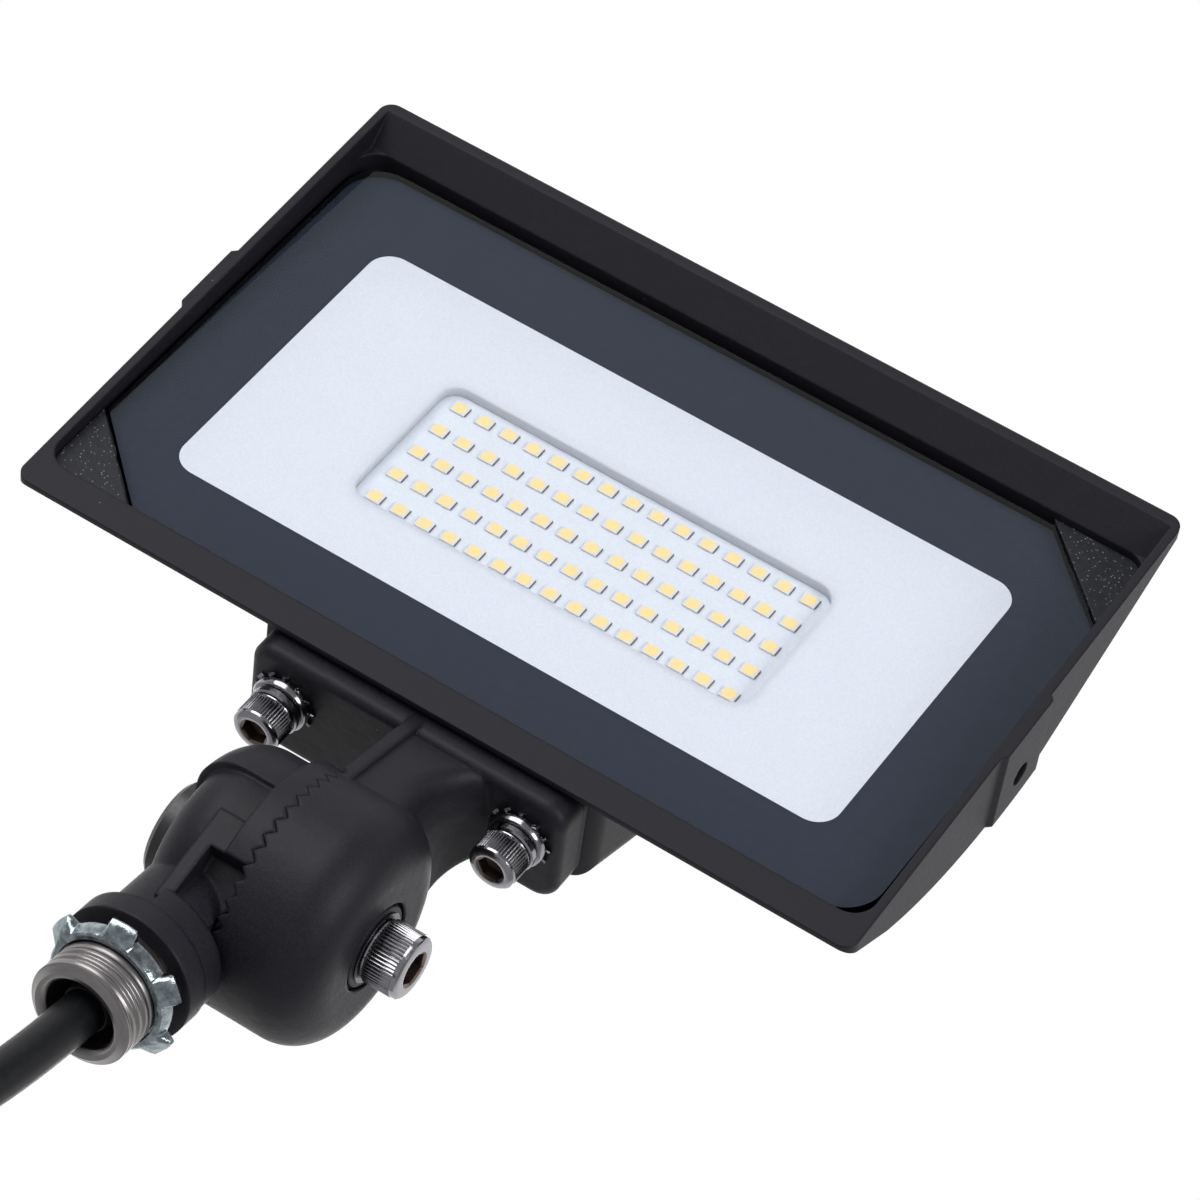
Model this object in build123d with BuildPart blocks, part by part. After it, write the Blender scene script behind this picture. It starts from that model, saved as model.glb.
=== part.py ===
"""LED floodlight with a knuckle mount: a slim die-cast head on a serrated, tilting knuckle."""

import os
from math import acos, atan2, cos, hypot, pi, radians, sin, sqrt, tan

from build123d import *

# All sizes are in millimetres and angles in degrees.
# The part's frame: Z up along the threaded stub, X to the right, Y away from the lit side.
# Its origin is on the stub's axis, at the outer face of the locknut.
# The head has a frame of its own: origin in the middle of the glass's front face, X to the
# right, Y towards the back, Z up to the visor. It leans forward about the hinge.

# Where the head stands
head_lean = 10.5
hinge_height = 42.8
head_offset = 9.5
hinge_behind_glass = 11.6
hinge_below_glass = 101.4

# Head outline, in the head's frame
head_width = 186.4
head_corner_radius = 3.0
visor_top = 64.4
visor_reach = 7.3
visor_edge = 2.2
cheek_visor_depth = 1.5
chin_bottom = 59.9
chin_reach = 1.9
chin_edge = 1.3
cheek_shoulder_height = 14.3
cheek_shoulder_depth = 14.8
cheek_belly_height = -12.0
cheek_belly_depth = 16.2
cheek_heel_height = -44.5
cheek_heel_depth = 8.0
hull_bevel = 5.4
hull_visor_depth = 15.3
hull_shoulder_height = 20.0
hull_shoulder_depth = 27.0
hull_belly_depth = 28.6
hull_heel_height = -40.0
hull_heel_depth = 20.5
side_wall = 1.8

# Glass, its gasket and the two corner blocks
glass_side_gap = 1.0
glass_chin_setback = 7.8
glass_visor_setback = 10.1
glass_thickness = 3.0
glass_corner_radius = 9.0
glass_cut_width = 19.5
glass_cut_height = 18.4
glass_gap = 0.9
visor_gap = 2.0
visor_lip = 1.3
gasket_thickness = 1.2
ledge_width = 6.0
block_gap = 0.8
block_sink = 0.3
block_corner_radius = 5.0
block_wall_gap = 0.15

# Light engine
led_columns = 15
led_rows = 5
led_pitch_x = 5.79
led_pitch_z = 7.35
led_length = 3.5
led_height = 2.8
led_thickness = 0.7
led_front_depth = 8.7
board_side_margin = 8.0
board_top_margin = 4.0
board_thickness = 1.6
board_corner_radius = 2.0
tray_front_depth = 7.0
tray_thickness = 0.9
tray_edge_gap = 0.5
tray_collar_wall = 1.0
tray_window_width = 90.0
tray_window_height = 36.0
tray_window_radius = 4.0
board_screw_inset_x = 3.5
board_screw_inset_z = 4.5
m3_radius = 1.5
m3_head_radius = 2.75
m3_head_height = 1.2
m3_depth = 5.0

# Driver box on the back of the head, and the driver potted in its case
box_width = 74.0
box_bottom = 55.6
box_front_depth = 2.0
box_back_depth = 35.0
box_foot_depth = 27.0
box_foot_rise = 19.6
box_top = 26.0
box_corner_radius = 4.5
box_slope = 12.0
box_wall = 3.0
driver_end_gap = 0.5
driver_height = 21.0
driver_depth = 14.0
driver_gap = 1.0
driver_ear = 6.5
driver_ear_thickness = 1.5
wire_hole_radius = 5.0

# Cooling fins on the back, either side of the driver box
fin_count = 5
fin_thickness = 3.0
fin_slot = 5.6
fin_floor_depth = 16.5

# Accessory bosses on both cheeks
boss_height_centre = 3.2
boss_half_length = 9.2
boss_raise = 1.0
boss_hole_depth_place = 8.8
boss_hole_radius = 2.55
boss_hole_length = 8.0

# Flange of the knuckle arm and its fasteners
flange_width = 70.0
flange_depth = 26.0
flange_set_back = 2.2
flange_thickness = 7.4
flange_corner_radius = 5.0
flange_edge_radius = 2.0
flange_gasket_thickness = 1.0
flange_screw_spacing = 53.0
m6_radius = 3.0
m6_head_radius = 5.0
m6_head_height = 6.0
m6_socket_radius = 2.9
m6_socket_depth = 3.2
m6_thread_reach = 7.5
shank_clearance = 0.3
tooth_washer_radius = 5.2
tooth_washer_thickness = 0.9
tooth_washer_teeth = 12
tooth_reach = 1.6
tooth_width = 1.5
flat_washer_radius = 6.0
flat_washer_thickness = 1.6
spring_washer_radius = 5.3
spring_washer_thickness = 1.8
spring_washer_cut = 0.8
thread_end_gap = 0.5

# Serrated knuckle
seam_place = 9.0
serration_radius = 24.4
serration_inner_radius = 15.0
serration_teeth = 45
serration_depth = 1.7
serration_gap = 0.2
serration_start = 3.0
serration_overlap = 1.6
knuckle_recess = 0.3

# Arm half of the knuckle, on the head
arm_length = 20.5
arm_end_radius = 10.0
arm_seat_radius = 9.2
arm_seat_depth = 1.6
web_front_top = 0.7
web_front_foot = -5.0
web_foot_drop = 19.0
web_waist_reach = 14.6
web_waist_drop = 4.0
web_flare_reach = 3.0
web_draft = 3.4
web_edge_radius = 5.0
web_back_radius = 2.0
web_foot_reach = 16.5
web_foot_level = 25.0
rib_thickness = 2.2
rib_stand = 1.2
rib_edge_radius = 0.7
arm_wire_hole_depth = 12.0

# Base half of the knuckle
ring_width = 5.0
hub_radius = 22.6
hub_step = 1.0
hub_end = -12.6
hub_lower_end = -11.2
hub_end_radius = 9.5
neck_radius = 11.5
neck_cut = 8.0
collar_radius = 13.8
collar_top = 11.2
collar_bottom = 6.2
shoulder_radius = 13.4
shoulder_top = 16.6
gusset_left = -2.0
gusset_rib_thickness = 2.8
gusset_foot_depth = 12.2
gusset_foot_height = 15.0
gusset_lip = 7.2
gusset_pocket_depth = 4.0
gusset_pocket_foot = 8.5

# Pivot bolt and its nut
pivot_radius = 4.0
pivot_running_gap = 0.08
pivot_head_radius = 6.5
pivot_head_height = 8.0
pivot_socket_radius = 3.5
pivot_socket_depth = 4.5
pivot_washer_radius = 8.4
pivot_washer_thickness = 2.0
nut_barrel_radius = 6.4
nut_barrel_length = 6.0
nut_disc_radius = 10.4
nut_disc_thickness = 4.2
nut_disc_edge = 1.0
nut_pocket_gap = 0.1

# Threaded stub and locknut
stub_radius = 10.475
stub_relief_radius = 10.0
stub_free_length = 8.4
stub_bore_radius = 7.2
stub_bore_chamfer = 0.9
stub_end_chamfer = 1.2
stub_root_depth = 8.0
stub_undercut = 0.6
thread_past_nut = 0.8
locknut_running_gap = 0.05
locknut_radius = 12.6
locknut_thickness = 3.2
locknut_lugs = 6
lug_reach = 2.2
lug_width = 6.0
lug_height = 2.0

# Cable: the points of its middle line are in the part's frame
cable_radius = 4.3
bushing_length = 10.0
cable_start = -1.0
cable_route = (
    (0, 0, -25),
    (-6, 0, -54),
    (-22, 1, -81),
    (-40, 1, -106),
)
coil_radius = 47.0
coil_pitch = 9.6
coil_quarter_turns = 7
coil_lead_in = 28.0
coil_start = (-47, 2, -162)
tie_width = 5.0
tie_thickness = 1.2
tie_gap = 0.12
lead_radius = 1.25
lead_length = 32.0
lead_spacing = 1.5
tip_radius = 0.75
tip_length = 9.0

os.makedirs("parts", exist_ok=True)


def save(builder, label):
    """Label a finished piece and write it."""
    builder.part.label = label
    export_step(builder.part, f"parts/{label}.step")


# The head's frame, leaning about the hinge
head_frame = Location((0, 0, hinge_height), (head_lean, 0, 0)) * Location(
    (head_offset, -hinge_behind_glass, hinge_below_glass)
)


def front_plane(depth):
    """A plane of the head that looks forward, so far behind the glass's face."""
    return Plane(head_frame * Plane.XZ.offset(-depth).location)


def side_plane(place):
    """A plane of the head that looks right: its own axes are depth and height."""
    return Plane(head_frame * Plane.YZ.offset(place).location)


def level_plane(height):
    """A plane of the head that looks up: its own axes are right and depth."""
    return Plane(head_frame * Plane.XY.offset(height).location)


# The way that leads straight back through the head
head_back = Axis(front_plane(0).origin, -front_plane(0).z_dir)


def side_outline(visor_depth, shoulder, belly, heel):
    """Draw a closed side profile of the head: the back's points are depths and heights."""
    front = Line((-chin_reach, -chin_bottom), (-visor_reach, visor_top))
    top = Line(front @ 1, (visor_depth - visor_reach, visor_top))
    slope = Line(top @ 1, shoulder)
    back = ThreePointArc(slope @ 1, belly, heel)
    rise = Line(back @ 1, (chin_edge - chin_reach, -chin_bottom))
    Line(rise @ 1, front @ 0)


def middle_outline():
    """The deep profile of the hull's middle."""
    side_outline(
        hull_visor_depth,
        (hull_shoulder_depth, hull_shoulder_height),
        (hull_belly_depth, cheek_belly_height),
        (hull_heel_depth, hull_heel_height),
    )


def cheek_outline():
    """The shallow profile of each cheek."""
    side_outline(
        cheek_visor_depth,
        (cheek_shoulder_depth, cheek_shoulder_height),
        (cheek_belly_depth, cheek_belly_height),
        (cheek_heel_depth, cheek_heel_height),
    )


# Sizes and places that follow from the driving ones
hull_half = head_width / 2 - hull_bevel
glass_width = head_width - 2 * (side_wall + glass_side_gap)
glass_bottom = chin_bottom - glass_chin_setback
glass_top = visor_top - glass_visor_setback
board_width = tray_window_width + 2 * board_side_margin
board_height = tray_window_height + 2 * board_top_margin
driver_length = box_width - 2 * (box_wall + driver_ear + driver_end_gap)
head_height = visor_top + chin_bottom
head_middle = (visor_top - chin_bottom) / 2
pocket_width = head_width - 2 * side_wall
pocket_top = glass_top + visor_gap
pocket_bottom = -glass_bottom - glass_gap
pocket_height = pocket_top - pocket_bottom
pocket_middle = (pocket_top + pocket_bottom) / 2
glass_height = glass_top + glass_bottom
glass_middle = (glass_top - glass_bottom) / 2
ledge_depth = glass_thickness + gasket_thickness
cavity_width = pocket_width - 2 * ledge_width
cavity_height = pocket_height - 2 * ledge_width
board_front = led_front_depth + led_thickness
floor_depth = board_front + board_thickness
cavity_bottom = pocket_middle - cavity_height / 2
box_cavity_back = box_foot_depth
flange_seat = -box_bottom - flange_gasket_thickness
flange_face = flange_seat - flange_thickness
flange_middle = hinge_behind_glass + flange_set_back
board_screws_at = [
    (x * (board_width / 2 - board_screw_inset_x), z * (board_height / 2 - board_screw_inset_z))
    for x in (-1, 1)
    for z in (-1, 1)
]
driver_middle = cavity_bottom + driver_height / 2 + driver_gap
driver_screws_at = [
    (x * (driver_length + driver_ear) / 2, driver_middle) for x in (-1, 1)
]
flange_screws_at = [
    (x * flange_screw_spacing / 2, hinge_behind_glass) for x in (-1, 1)
]


# Driver box, with rounded outer edges, before it joins the housing
with BuildPart() as driver_box:
    with BuildSketch(side_plane(-box_width / 2)):
        with BuildLine():
            Polyline(
                (box_front_depth, -box_bottom),
                (box_foot_depth, -box_bottom),
                (box_back_depth, box_foot_rise - box_bottom),
                (box_back_depth, box_top - box_slope),
                (box_back_depth - box_slope, box_top),
                (box_front_depth, box_top),
                close=True,
            )
        make_face()
    extrude(amount=box_width)
    back_faces = driver_box.faces().sort_by(head_back)[-4:]
    rear_edges = [edge for face in back_faces for edge in face.edges() if abs(edge.center().X - head_offset) > 1]
    fillet(ShapeList(rear_edges), box_corner_radius)

# A boss on each cheek: the cheek's own profile, cut to a short length with sloping ends
with BuildPart() as boss_pair:
    with BuildSketch(side_plane(-head_width / 2 - boss_raise)):
        with BuildLine():
            cheek_outline()
        make_face()
    extrude(amount=head_width + 2 * boss_raise)
    with BuildSketch(front_plane(2 * cheek_belly_depth)):
        for side in (-1, 1):
            with BuildLine():
                Polyline(
                    (side * (head_width / 2 - side_wall), boss_height_centre - boss_half_length - side_wall),
                    (side * (head_width / 2 + boss_raise), boss_height_centre - boss_half_length + boss_raise),
                    (side * (head_width / 2 + boss_raise), boss_height_centre + boss_half_length - boss_raise),
                    (side * (head_width / 2 - side_wall), boss_height_centre + boss_half_length + side_wall),
                    close=True,
                )
            make_face()
    extrude(amount=3 * cheek_belly_depth, mode=Mode.INTERSECT)

# Housing: hull, bevelled cheeks, driver box, fins and every pocket
with BuildPart() as housing:
    with BuildSketch(side_plane(-hull_half)):
        with BuildLine():
            middle_outline()
        make_face()
    extrude(amount=2 * hull_half)
    for side in (-1, 1):
        with BuildSketch(side_plane(side * hull_half)):
            with BuildLine():
                middle_outline()
            make_face()
        with BuildSketch(side_plane(side * head_width / 2)):
            with BuildLine():
                cheek_outline()
            make_face()
        loft(ruled=True)
    # Rounded corners, seen from the front
    with BuildSketch(front_plane(2 * box_back_depth)):
        with Locations((0, head_middle)):
            RectangleRounded(head_width, head_height, head_corner_radius)
    extrude(amount=3 * box_back_depth, mode=Mode.INTERSECT)
    # Behind the chin's lip, the underside is flat where the knuckle is bolted on
    with BuildSketch(level_plane(-box_bottom)):
        with Locations((0, box_foot_depth / 2 + chin_edge - chin_reach)):
            Rectangle(box_width, box_foot_depth)
    extrude(amount=-box_bottom / 2, mode=Mode.SUBTRACT)
    add(driver_box.part)
    # Slots between the cooling fins
    with BuildSketch(front_plane(2 * box_back_depth)):
        for side in (-1, 1):
            for slot in range(fin_count):
                place = box_width / 2 + fin_slot + (slot + 0.5) * (fin_slot + fin_thickness)
                with Locations((side * place, head_middle)):
                    Rectangle(fin_slot, head_height)
    extrude(amount=2 * box_back_depth - fin_floor_depth, mode=Mode.SUBTRACT)
    # Glass pocket down to the ledge, opened upwards by the visor's slope
    with BuildSketch(front_plane(ledge_depth)):
        with Locations((0, pocket_middle)):
            RectangleRounded(pocket_width, pocket_height, block_corner_radius)
    extrude(amount=2 * visor_reach + ledge_depth, mode=Mode.SUBTRACT)
    with BuildSketch(side_plane(-pocket_width / 2)):
        with BuildLine():
            Polyline(
                (-visor_lip, pocket_top),
                (-visor_reach, visor_top - visor_edge),
                (-2 * visor_reach, visor_top - visor_edge),
                (-2 * visor_reach, pocket_middle),
                (-visor_lip, pocket_middle),
                close=True,
            )
        make_face()
    extrude(amount=pocket_width, mode=Mode.SUBTRACT)
    # Light chamber behind the glass
    with BuildSketch(front_plane(floor_depth)):
        with Locations((0, pocket_middle)):
            RectangleRounded(cavity_width, cavity_height, block_corner_radius)
    extrude(amount=floor_depth, mode=Mode.SUBTRACT)
    # Driver chamber in the box
    with BuildSketch(front_plane(box_cavity_back)):
        with Locations((0, driver_middle)):
            Rectangle(box_width - 2 * box_wall, driver_height + 2 * driver_gap)
    extrude(amount=box_cavity_back - floor_depth, mode=Mode.SUBTRACT)
    # Holes for the wires and screws
    with BuildSketch(level_plane(-box_bottom)):
        with Locations((0, hinge_behind_glass)):
            Circle(wire_hole_radius)
    extrude(amount=box_bottom + cavity_bottom, mode=Mode.SUBTRACT)
    with BuildSketch(level_plane(-box_bottom)):
        with Locations(*flange_screws_at):
            Circle(m6_radius)
    extrude(amount=m6_thread_reach, mode=Mode.SUBTRACT)
    with BuildSketch(front_plane(floor_depth)):
        with Locations(*board_screws_at):
            Circle(m3_radius)
    extrude(amount=board_thickness - m3_depth, mode=Mode.SUBTRACT)
    with BuildSketch(front_plane(box_cavity_back)):
        with Locations(*driver_screws_at):
            Circle(m3_radius)
    extrude(amount=driver_ear_thickness - m3_depth, mode=Mode.SUBTRACT)
    # Accessory bosses and their threaded holes
    add(boss_pair.part)
    with BuildSketch(side_plane(-head_width / 2 - boss_raise)):
        with Locations((boss_hole_depth_place, boss_height_centre)):
            Circle(boss_hole_radius)
    extrude(amount=boss_hole_length, mode=Mode.SUBTRACT)
    with BuildSketch(side_plane(head_width / 2 + boss_raise)):
        with Locations((boss_hole_depth_place, boss_height_centre)):
            Circle(boss_hole_radius)
    extrude(amount=-boss_hole_length, mode=Mode.SUBTRACT)
save(housing, "housing")

# Glass, with two opposite corners cut away: each cut is named by its side, level and way up
glass_cuts = (
    (-1, -glass_bottom, 1),
    (1, glass_top, -1),
)


def corner_points(side, level, rise, inset, reach):
    """Corners of the triangle that lies outside a cut, moved outwards by the inset."""
    scale = 1 - inset * hypot(glass_cut_width, glass_cut_height) / (glass_cut_width * glass_cut_height)
    width = side * glass_cut_width * scale
    height = rise * glass_cut_height * scale
    corner = side * glass_width / 2
    return (
        (corner - (1 + reach) * width, level - reach * height),
        (corner + reach * width, level + (1 + reach) * height),
        (corner + (1 + reach) * width, level - (1 + reach) * height),
    )


with BuildPart() as front_glass:
    with BuildSketch(front_plane(glass_thickness)):
        with Locations((0, glass_middle)):
            RectangleRounded(glass_width, glass_height, glass_corner_radius)
    extrude(amount=glass_thickness)
    with BuildSketch(front_plane(glass_thickness)):
        for side, level, rise in glass_cuts:
            with BuildLine():
                Polyline(*corner_points(side, level, rise, 0, 0.2), close=True)
            make_face()
    extrude(amount=glass_thickness, mode=Mode.SUBTRACT)
save(front_glass, "front_glass")

# A black block fills each cut corner of the pocket
for label, (side, level, rise) in zip(("corner_block_lower_left", "corner_block_upper_right"), glass_cuts):
    with BuildPart() as corner_block:
        with BuildSketch(front_plane(glass_thickness)):
            with Locations((0, pocket_middle)):
                RectangleRounded(
                    pocket_width - 2 * block_wall_gap,
                    pocket_height - 2 * block_wall_gap,
                    block_corner_radius - block_wall_gap,
                )
        extrude(amount=glass_thickness - block_sink)
        with BuildSketch(front_plane(glass_thickness)):
            with BuildLine():
                Polyline(*corner_points(side, level, rise, block_gap, 1), close=True)
            make_face()
        extrude(amount=glass_thickness, mode=Mode.INTERSECT)
    save(corner_block, label)

# Gasket that the glass and the blocks lie on
with BuildPart() as glass_gasket:
    with BuildSketch(front_plane(ledge_depth)):
        with Locations((0, pocket_middle)):
            RectangleRounded(
                pocket_width - 2 * block_wall_gap,
                pocket_height - 2 * block_wall_gap,
                block_corner_radius - block_wall_gap,
            )
            RectangleRounded(cavity_width, cavity_height, block_corner_radius, mode=Mode.SUBTRACT)
    extrude(amount=gasket_thickness)
save(glass_gasket, "glass_gasket")

# Light engine: tray with its collar, circuit board, light-emitting packages and screws
with BuildPart() as reflector_tray:
    with BuildSketch(front_plane(tray_front_depth + tray_thickness)):
        with Locations((0, pocket_middle)):
            RectangleRounded(
                cavity_width - 2 * tray_edge_gap,
                cavity_height - 2 * tray_edge_gap,
                block_corner_radius - tray_edge_gap,
            )
    extrude(amount=tray_thickness)
    with BuildSketch(front_plane(board_front)):
        RectangleRounded(
            tray_window_width + 2 * tray_collar_wall,
            tray_window_height + 2 * tray_collar_wall,
            tray_window_radius + tray_collar_wall,
        )
    extrude(amount=board_front - tray_front_depth)
    with BuildSketch(front_plane(board_front)):
        RectangleRounded(tray_window_width, tray_window_height, tray_window_radius)
    extrude(amount=board_front - tray_front_depth, mode=Mode.SUBTRACT)
save(reflector_tray, "reflector_tray")

with BuildPart() as led_board:
    with BuildSketch(front_plane(floor_depth)):
        RectangleRounded(board_width, board_height, board_corner_radius)
        with Locations(*board_screws_at):
            Circle(m3_radius, mode=Mode.SUBTRACT)
    extrude(amount=board_thickness)
save(led_board, "led_board")

with BuildPart() as led_packages:
    with BuildSketch(front_plane(board_front)):
        with GridLocations(led_pitch_x, led_pitch_z, led_columns, led_rows):
            Rectangle(led_length, led_height)
    extrude(amount=led_thickness)
save(led_packages, "led_packages")

with BuildPart() as board_screws:
    with BuildSketch(front_plane(board_front)):
        with Locations(*board_screws_at):
            Circle(m3_head_radius)
    extrude(amount=m3_head_height)
    with BuildSketch(front_plane(board_front)):
        with Locations(*board_screws_at):
            Circle(m3_radius)
    extrude(amount=-m3_depth)
save(board_screws, "board_screws")

# Potted driver, held by an ear at each end
with BuildPart() as driver_module:
    with BuildSketch(front_plane(box_cavity_back)):
        with Locations((0, driver_middle)):
            Rectangle(driver_length + 2 * driver_ear, driver_height)
            with Locations(((driver_length + driver_ear) / 2, 0), (-(driver_length + driver_ear) / 2, 0)):
                Circle(m3_radius, mode=Mode.SUBTRACT)
    extrude(amount=driver_ear_thickness)
    with BuildSketch(front_plane(box_cavity_back)):
        with Locations((0, driver_middle)):
            Rectangle(driver_length, driver_height)
    extrude(amount=driver_depth)
save(driver_module, "driver_module")

with BuildPart() as driver_screws:
    with BuildSketch(front_plane(box_cavity_back - driver_ear_thickness)):
        with Locations(*driver_screws_at):
            Circle(m3_head_radius)
    extrude(amount=m3_head_height)
    with BuildSketch(front_plane(box_cavity_back - driver_ear_thickness)):
        with Locations(*driver_screws_at):
            Circle(m3_radius)
    extrude(amount=-m3_depth)
save(driver_screws, "driver_screws")

# Gasket between the housing and the knuckle's flange
with BuildPart() as flange_gasket:
    with BuildSketch(level_plane(flange_seat)):
        with Locations((0, flange_middle)):
            RectangleRounded(flange_width, flange_depth, flange_corner_radius)
        with Locations((0, hinge_behind_glass)):
            Circle(wire_hole_radius, mode=Mode.SUBTRACT)
        with Locations(*flange_screws_at):
            Circle(m6_radius + shank_clearance, mode=Mode.SUBTRACT)
    extrude(amount=flange_gasket_thickness)
save(flange_gasket, "flange_gasket")

# The knuckle's own frame lies on the hinge: its planes look right, with Y and Z as their axes
knuckle_plane = Plane(origin=(0, 0, hinge_height), x_dir=(0, 1, 0), z_dir=(1, 0, 0))
arm_face = seam_place + serration_gap / 2
base_face = seam_place - serration_gap / 2
arm_tips = arm_face - serration_depth / 2
base_tips = base_face + serration_depth / 2
arm_end = seam_place + arm_length


def groove_wedge(face, way):
    """A wedge along the X axis that cuts the groove between two teeth, deeper further out."""
    with BuildPart() as wedge:
        for reach in (serration_inner_radius - 1, serration_radius + 1):
            depth = serration_depth * reach / serration_radius
            half = serration_overlap * pi * reach / serration_teeth
            root = face + way * depth / 2
            mouth = root - way * serration_overlap * depth
            with BuildSketch(Plane.YZ.offset(reach)):
                with BuildLine():
                    Polyline((0, root), (half, mouth), (-half, mouth), close=True)
                make_face()
        loft(ruled=True)
    return wedge.part


arm_groove = groove_wedge(arm_face, 1)
base_groove = groove_wedge(base_face, -1)

# Web between the drum and the flange: a loft down from the flange that narrows to a waist, then
# widens again, with rounded edges on its right
seam_in_head = arm_tips - head_offset
web_lean = (web_front_foot - web_front_top) / web_foot_drop


def web_section(drop, reach):
    """Level section of the web, so far below the flange's lower face."""
    front = web_front_top + web_lean * drop
    back = 2 * hinge_behind_glass - front
    with BuildSketch(level_plane(flange_face - drop)) as section:
        with BuildLine():
            Polyline(
                (seam_in_head, front),
                (reach, front),
                (reach + web_draft, back),
                (seam_in_head, back),
                close=True,
            )
        make_face()
        fillet(section.vertices().sort_by(Axis.X)[-1], web_back_radius)
        fillet(section.vertices().group_by(Axis.Y)[0].sort_by(Axis.X)[-1], web_edge_radius)
    return section.sketch


def rib_corner(drop):
    """Front of the rib, so far below the flange's lower face, as depth and height."""
    return (web_front_top + web_lean * drop - rib_stand, flange_face - drop)


with BuildPart() as arm_web:
    loft(
        [
            web_section(0, web_waist_reach + web_flare_reach),
            web_section(web_waist_drop, web_waist_reach),
            web_section(web_foot_level, web_foot_reach),
        ]
    )

# Rib up the web's left edge
with BuildPart() as arm_rib:
    with BuildSketch(side_plane(seam_in_head)):
        with BuildLine():
            Polyline(
                rib_corner(-flange_thickness / 2),
                rib_corner(web_foot_level),
                (hinge_behind_glass, flange_face - web_foot_level),
                (hinge_behind_glass, flange_face + flange_thickness / 2),
                close=True,
            )
        make_face()
    extrude(amount=rib_thickness + arm_face - arm_tips)
    fillet(arm_rib.faces().sort_by(Axis.Y)[0].edges().filter_by(Axis.X, reverse=True), rib_edge_radius)

with BuildPart() as arm_drum:
    with BuildSketch(knuckle_plane.offset(arm_tips)):
        Circle(serration_radius)
    extrude(amount=arm_end - arm_tips)
    fillet(arm_drum.faces().sort_by(Axis.X)[-1].edges(), arm_end_radius)

with BuildPart() as knuckle_arm:
    # Flange, with its lower edges rounded
    with BuildSketch(level_plane(flange_seat)):
        with Locations((0, flange_middle)):
            RectangleRounded(flange_width, flange_depth, flange_corner_radius)
    extrude(amount=-flange_thickness)
    fillet(knuckle_arm.faces().sort_by(Axis.Z)[0].edges(), flange_edge_radius)
    add(arm_web.part)
    add(arm_rib.part)
    add(arm_drum.part)
    # Seat for the pivot bolt's washer, bolt hole, and recess inside the teeth
    with BuildSketch(knuckle_plane.offset(arm_end)):
        Circle(arm_seat_radius)
    extrude(amount=-arm_seat_depth, mode=Mode.SUBTRACT)
    with BuildSketch(knuckle_plane.offset(arm_tips)):
        Circle(pivot_radius + shank_clearance)
    extrude(amount=arm_end - arm_tips, mode=Mode.SUBTRACT)
    with BuildSketch(knuckle_plane.offset(arm_tips)):
        Circle(serration_inner_radius)
    extrude(amount=serration_depth + knuckle_recess, mode=Mode.SUBTRACT)
    # Holes in the flange for its screws and the wires
    with BuildSketch(level_plane(flange_seat)):
        with Locations(*flange_screws_at):
            Circle(m6_radius + shank_clearance)
    extrude(amount=-flange_thickness, mode=Mode.SUBTRACT)
    with BuildSketch(level_plane(flange_seat)):
        with Locations((0, hinge_behind_glass)):
            Circle(wire_hole_radius)
    extrude(amount=-arm_wire_hole_depth, mode=Mode.SUBTRACT)
    # Teeth
    with Locations(knuckle_plane):
        with PolarLocations(0, serration_teeth, start_angle=serration_start):
            add(arm_groove, mode=Mode.SUBTRACT)
save(knuckle_arm, "knuckle_arm")


# Fasteners of the flange, one stack at each end
def washer(place, top, outer, thickness):
    """A flat ring round one flange screw, hanging down from its top."""
    with BuildPart() as ring:
        with BuildSketch(level_plane(top)):
            with Locations(place):
                Circle(outer)
                Circle(m6_radius + shank_clearance, mode=Mode.SUBTRACT)
        extrude(amount=-thickness)
    return ring


def tooth_washer(place, top):
    """A washer with teeth round its rim."""
    with BuildPart() as star:
        with BuildSketch(level_plane(top)):
            with Locations(place):
                Circle(tooth_washer_radius)
                with PolarLocations(tooth_washer_radius, tooth_washer_teeth):
                    Rectangle(2 * tooth_reach, tooth_width)
                Circle(m6_radius + shank_clearance, mode=Mode.SUBTRACT)
        extrude(amount=-tooth_washer_thickness)
    return star


def spring_washer(place, top):
    """A washer that is cut through once."""
    with BuildPart() as spring:
        with BuildSketch(level_plane(top)):
            with Locations(place):
                Circle(spring_washer_radius)
                Circle(m6_radius + shank_clearance, mode=Mode.SUBTRACT)
                with Locations((0, spring_washer_radius)):
                    Rectangle(spring_washer_cut, 2 * spring_washer_radius, mode=Mode.SUBTRACT)
        extrude(amount=-spring_washer_thickness)
    return spring


def flange_screw(place, top):
    """A socket-head screw that stands in the housing, with its head hanging from its top."""
    with BuildPart() as screw:
        with BuildSketch(level_plane(top)):
            with Locations(place):
                Circle(m6_head_radius)
        extrude(amount=-m6_head_height)
        with BuildSketch(level_plane(top)):
            with Locations(place):
                Circle(m6_radius)
        extrude(amount=m6_thread_reach - box_bottom - top - thread_end_gap)
        with BuildSketch(level_plane(top - m6_head_height)):
            with Locations(place):
                RegularPolygon(m6_socket_radius, 6)
        extrude(amount=m6_socket_depth, mode=Mode.SUBTRACT)
    return screw


flat_washer_top = flange_face - tooth_washer_thickness
spring_washer_top = flat_washer_top - flat_washer_thickness
screw_head_top = spring_washer_top - spring_washer_thickness
for label, place in zip(("left", "right"), flange_screws_at):
    save(tooth_washer(place, flange_face), f"tooth_washer_{label}")
    save(washer(place, flat_washer_top, flat_washer_radius, flat_washer_thickness), f"flat_washer_{label}")
    save(spring_washer(place, spring_washer_top), f"spring_washer_{label}")
    save(flange_screw(place, screw_head_top), f"flange_screw_{label}")

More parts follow.
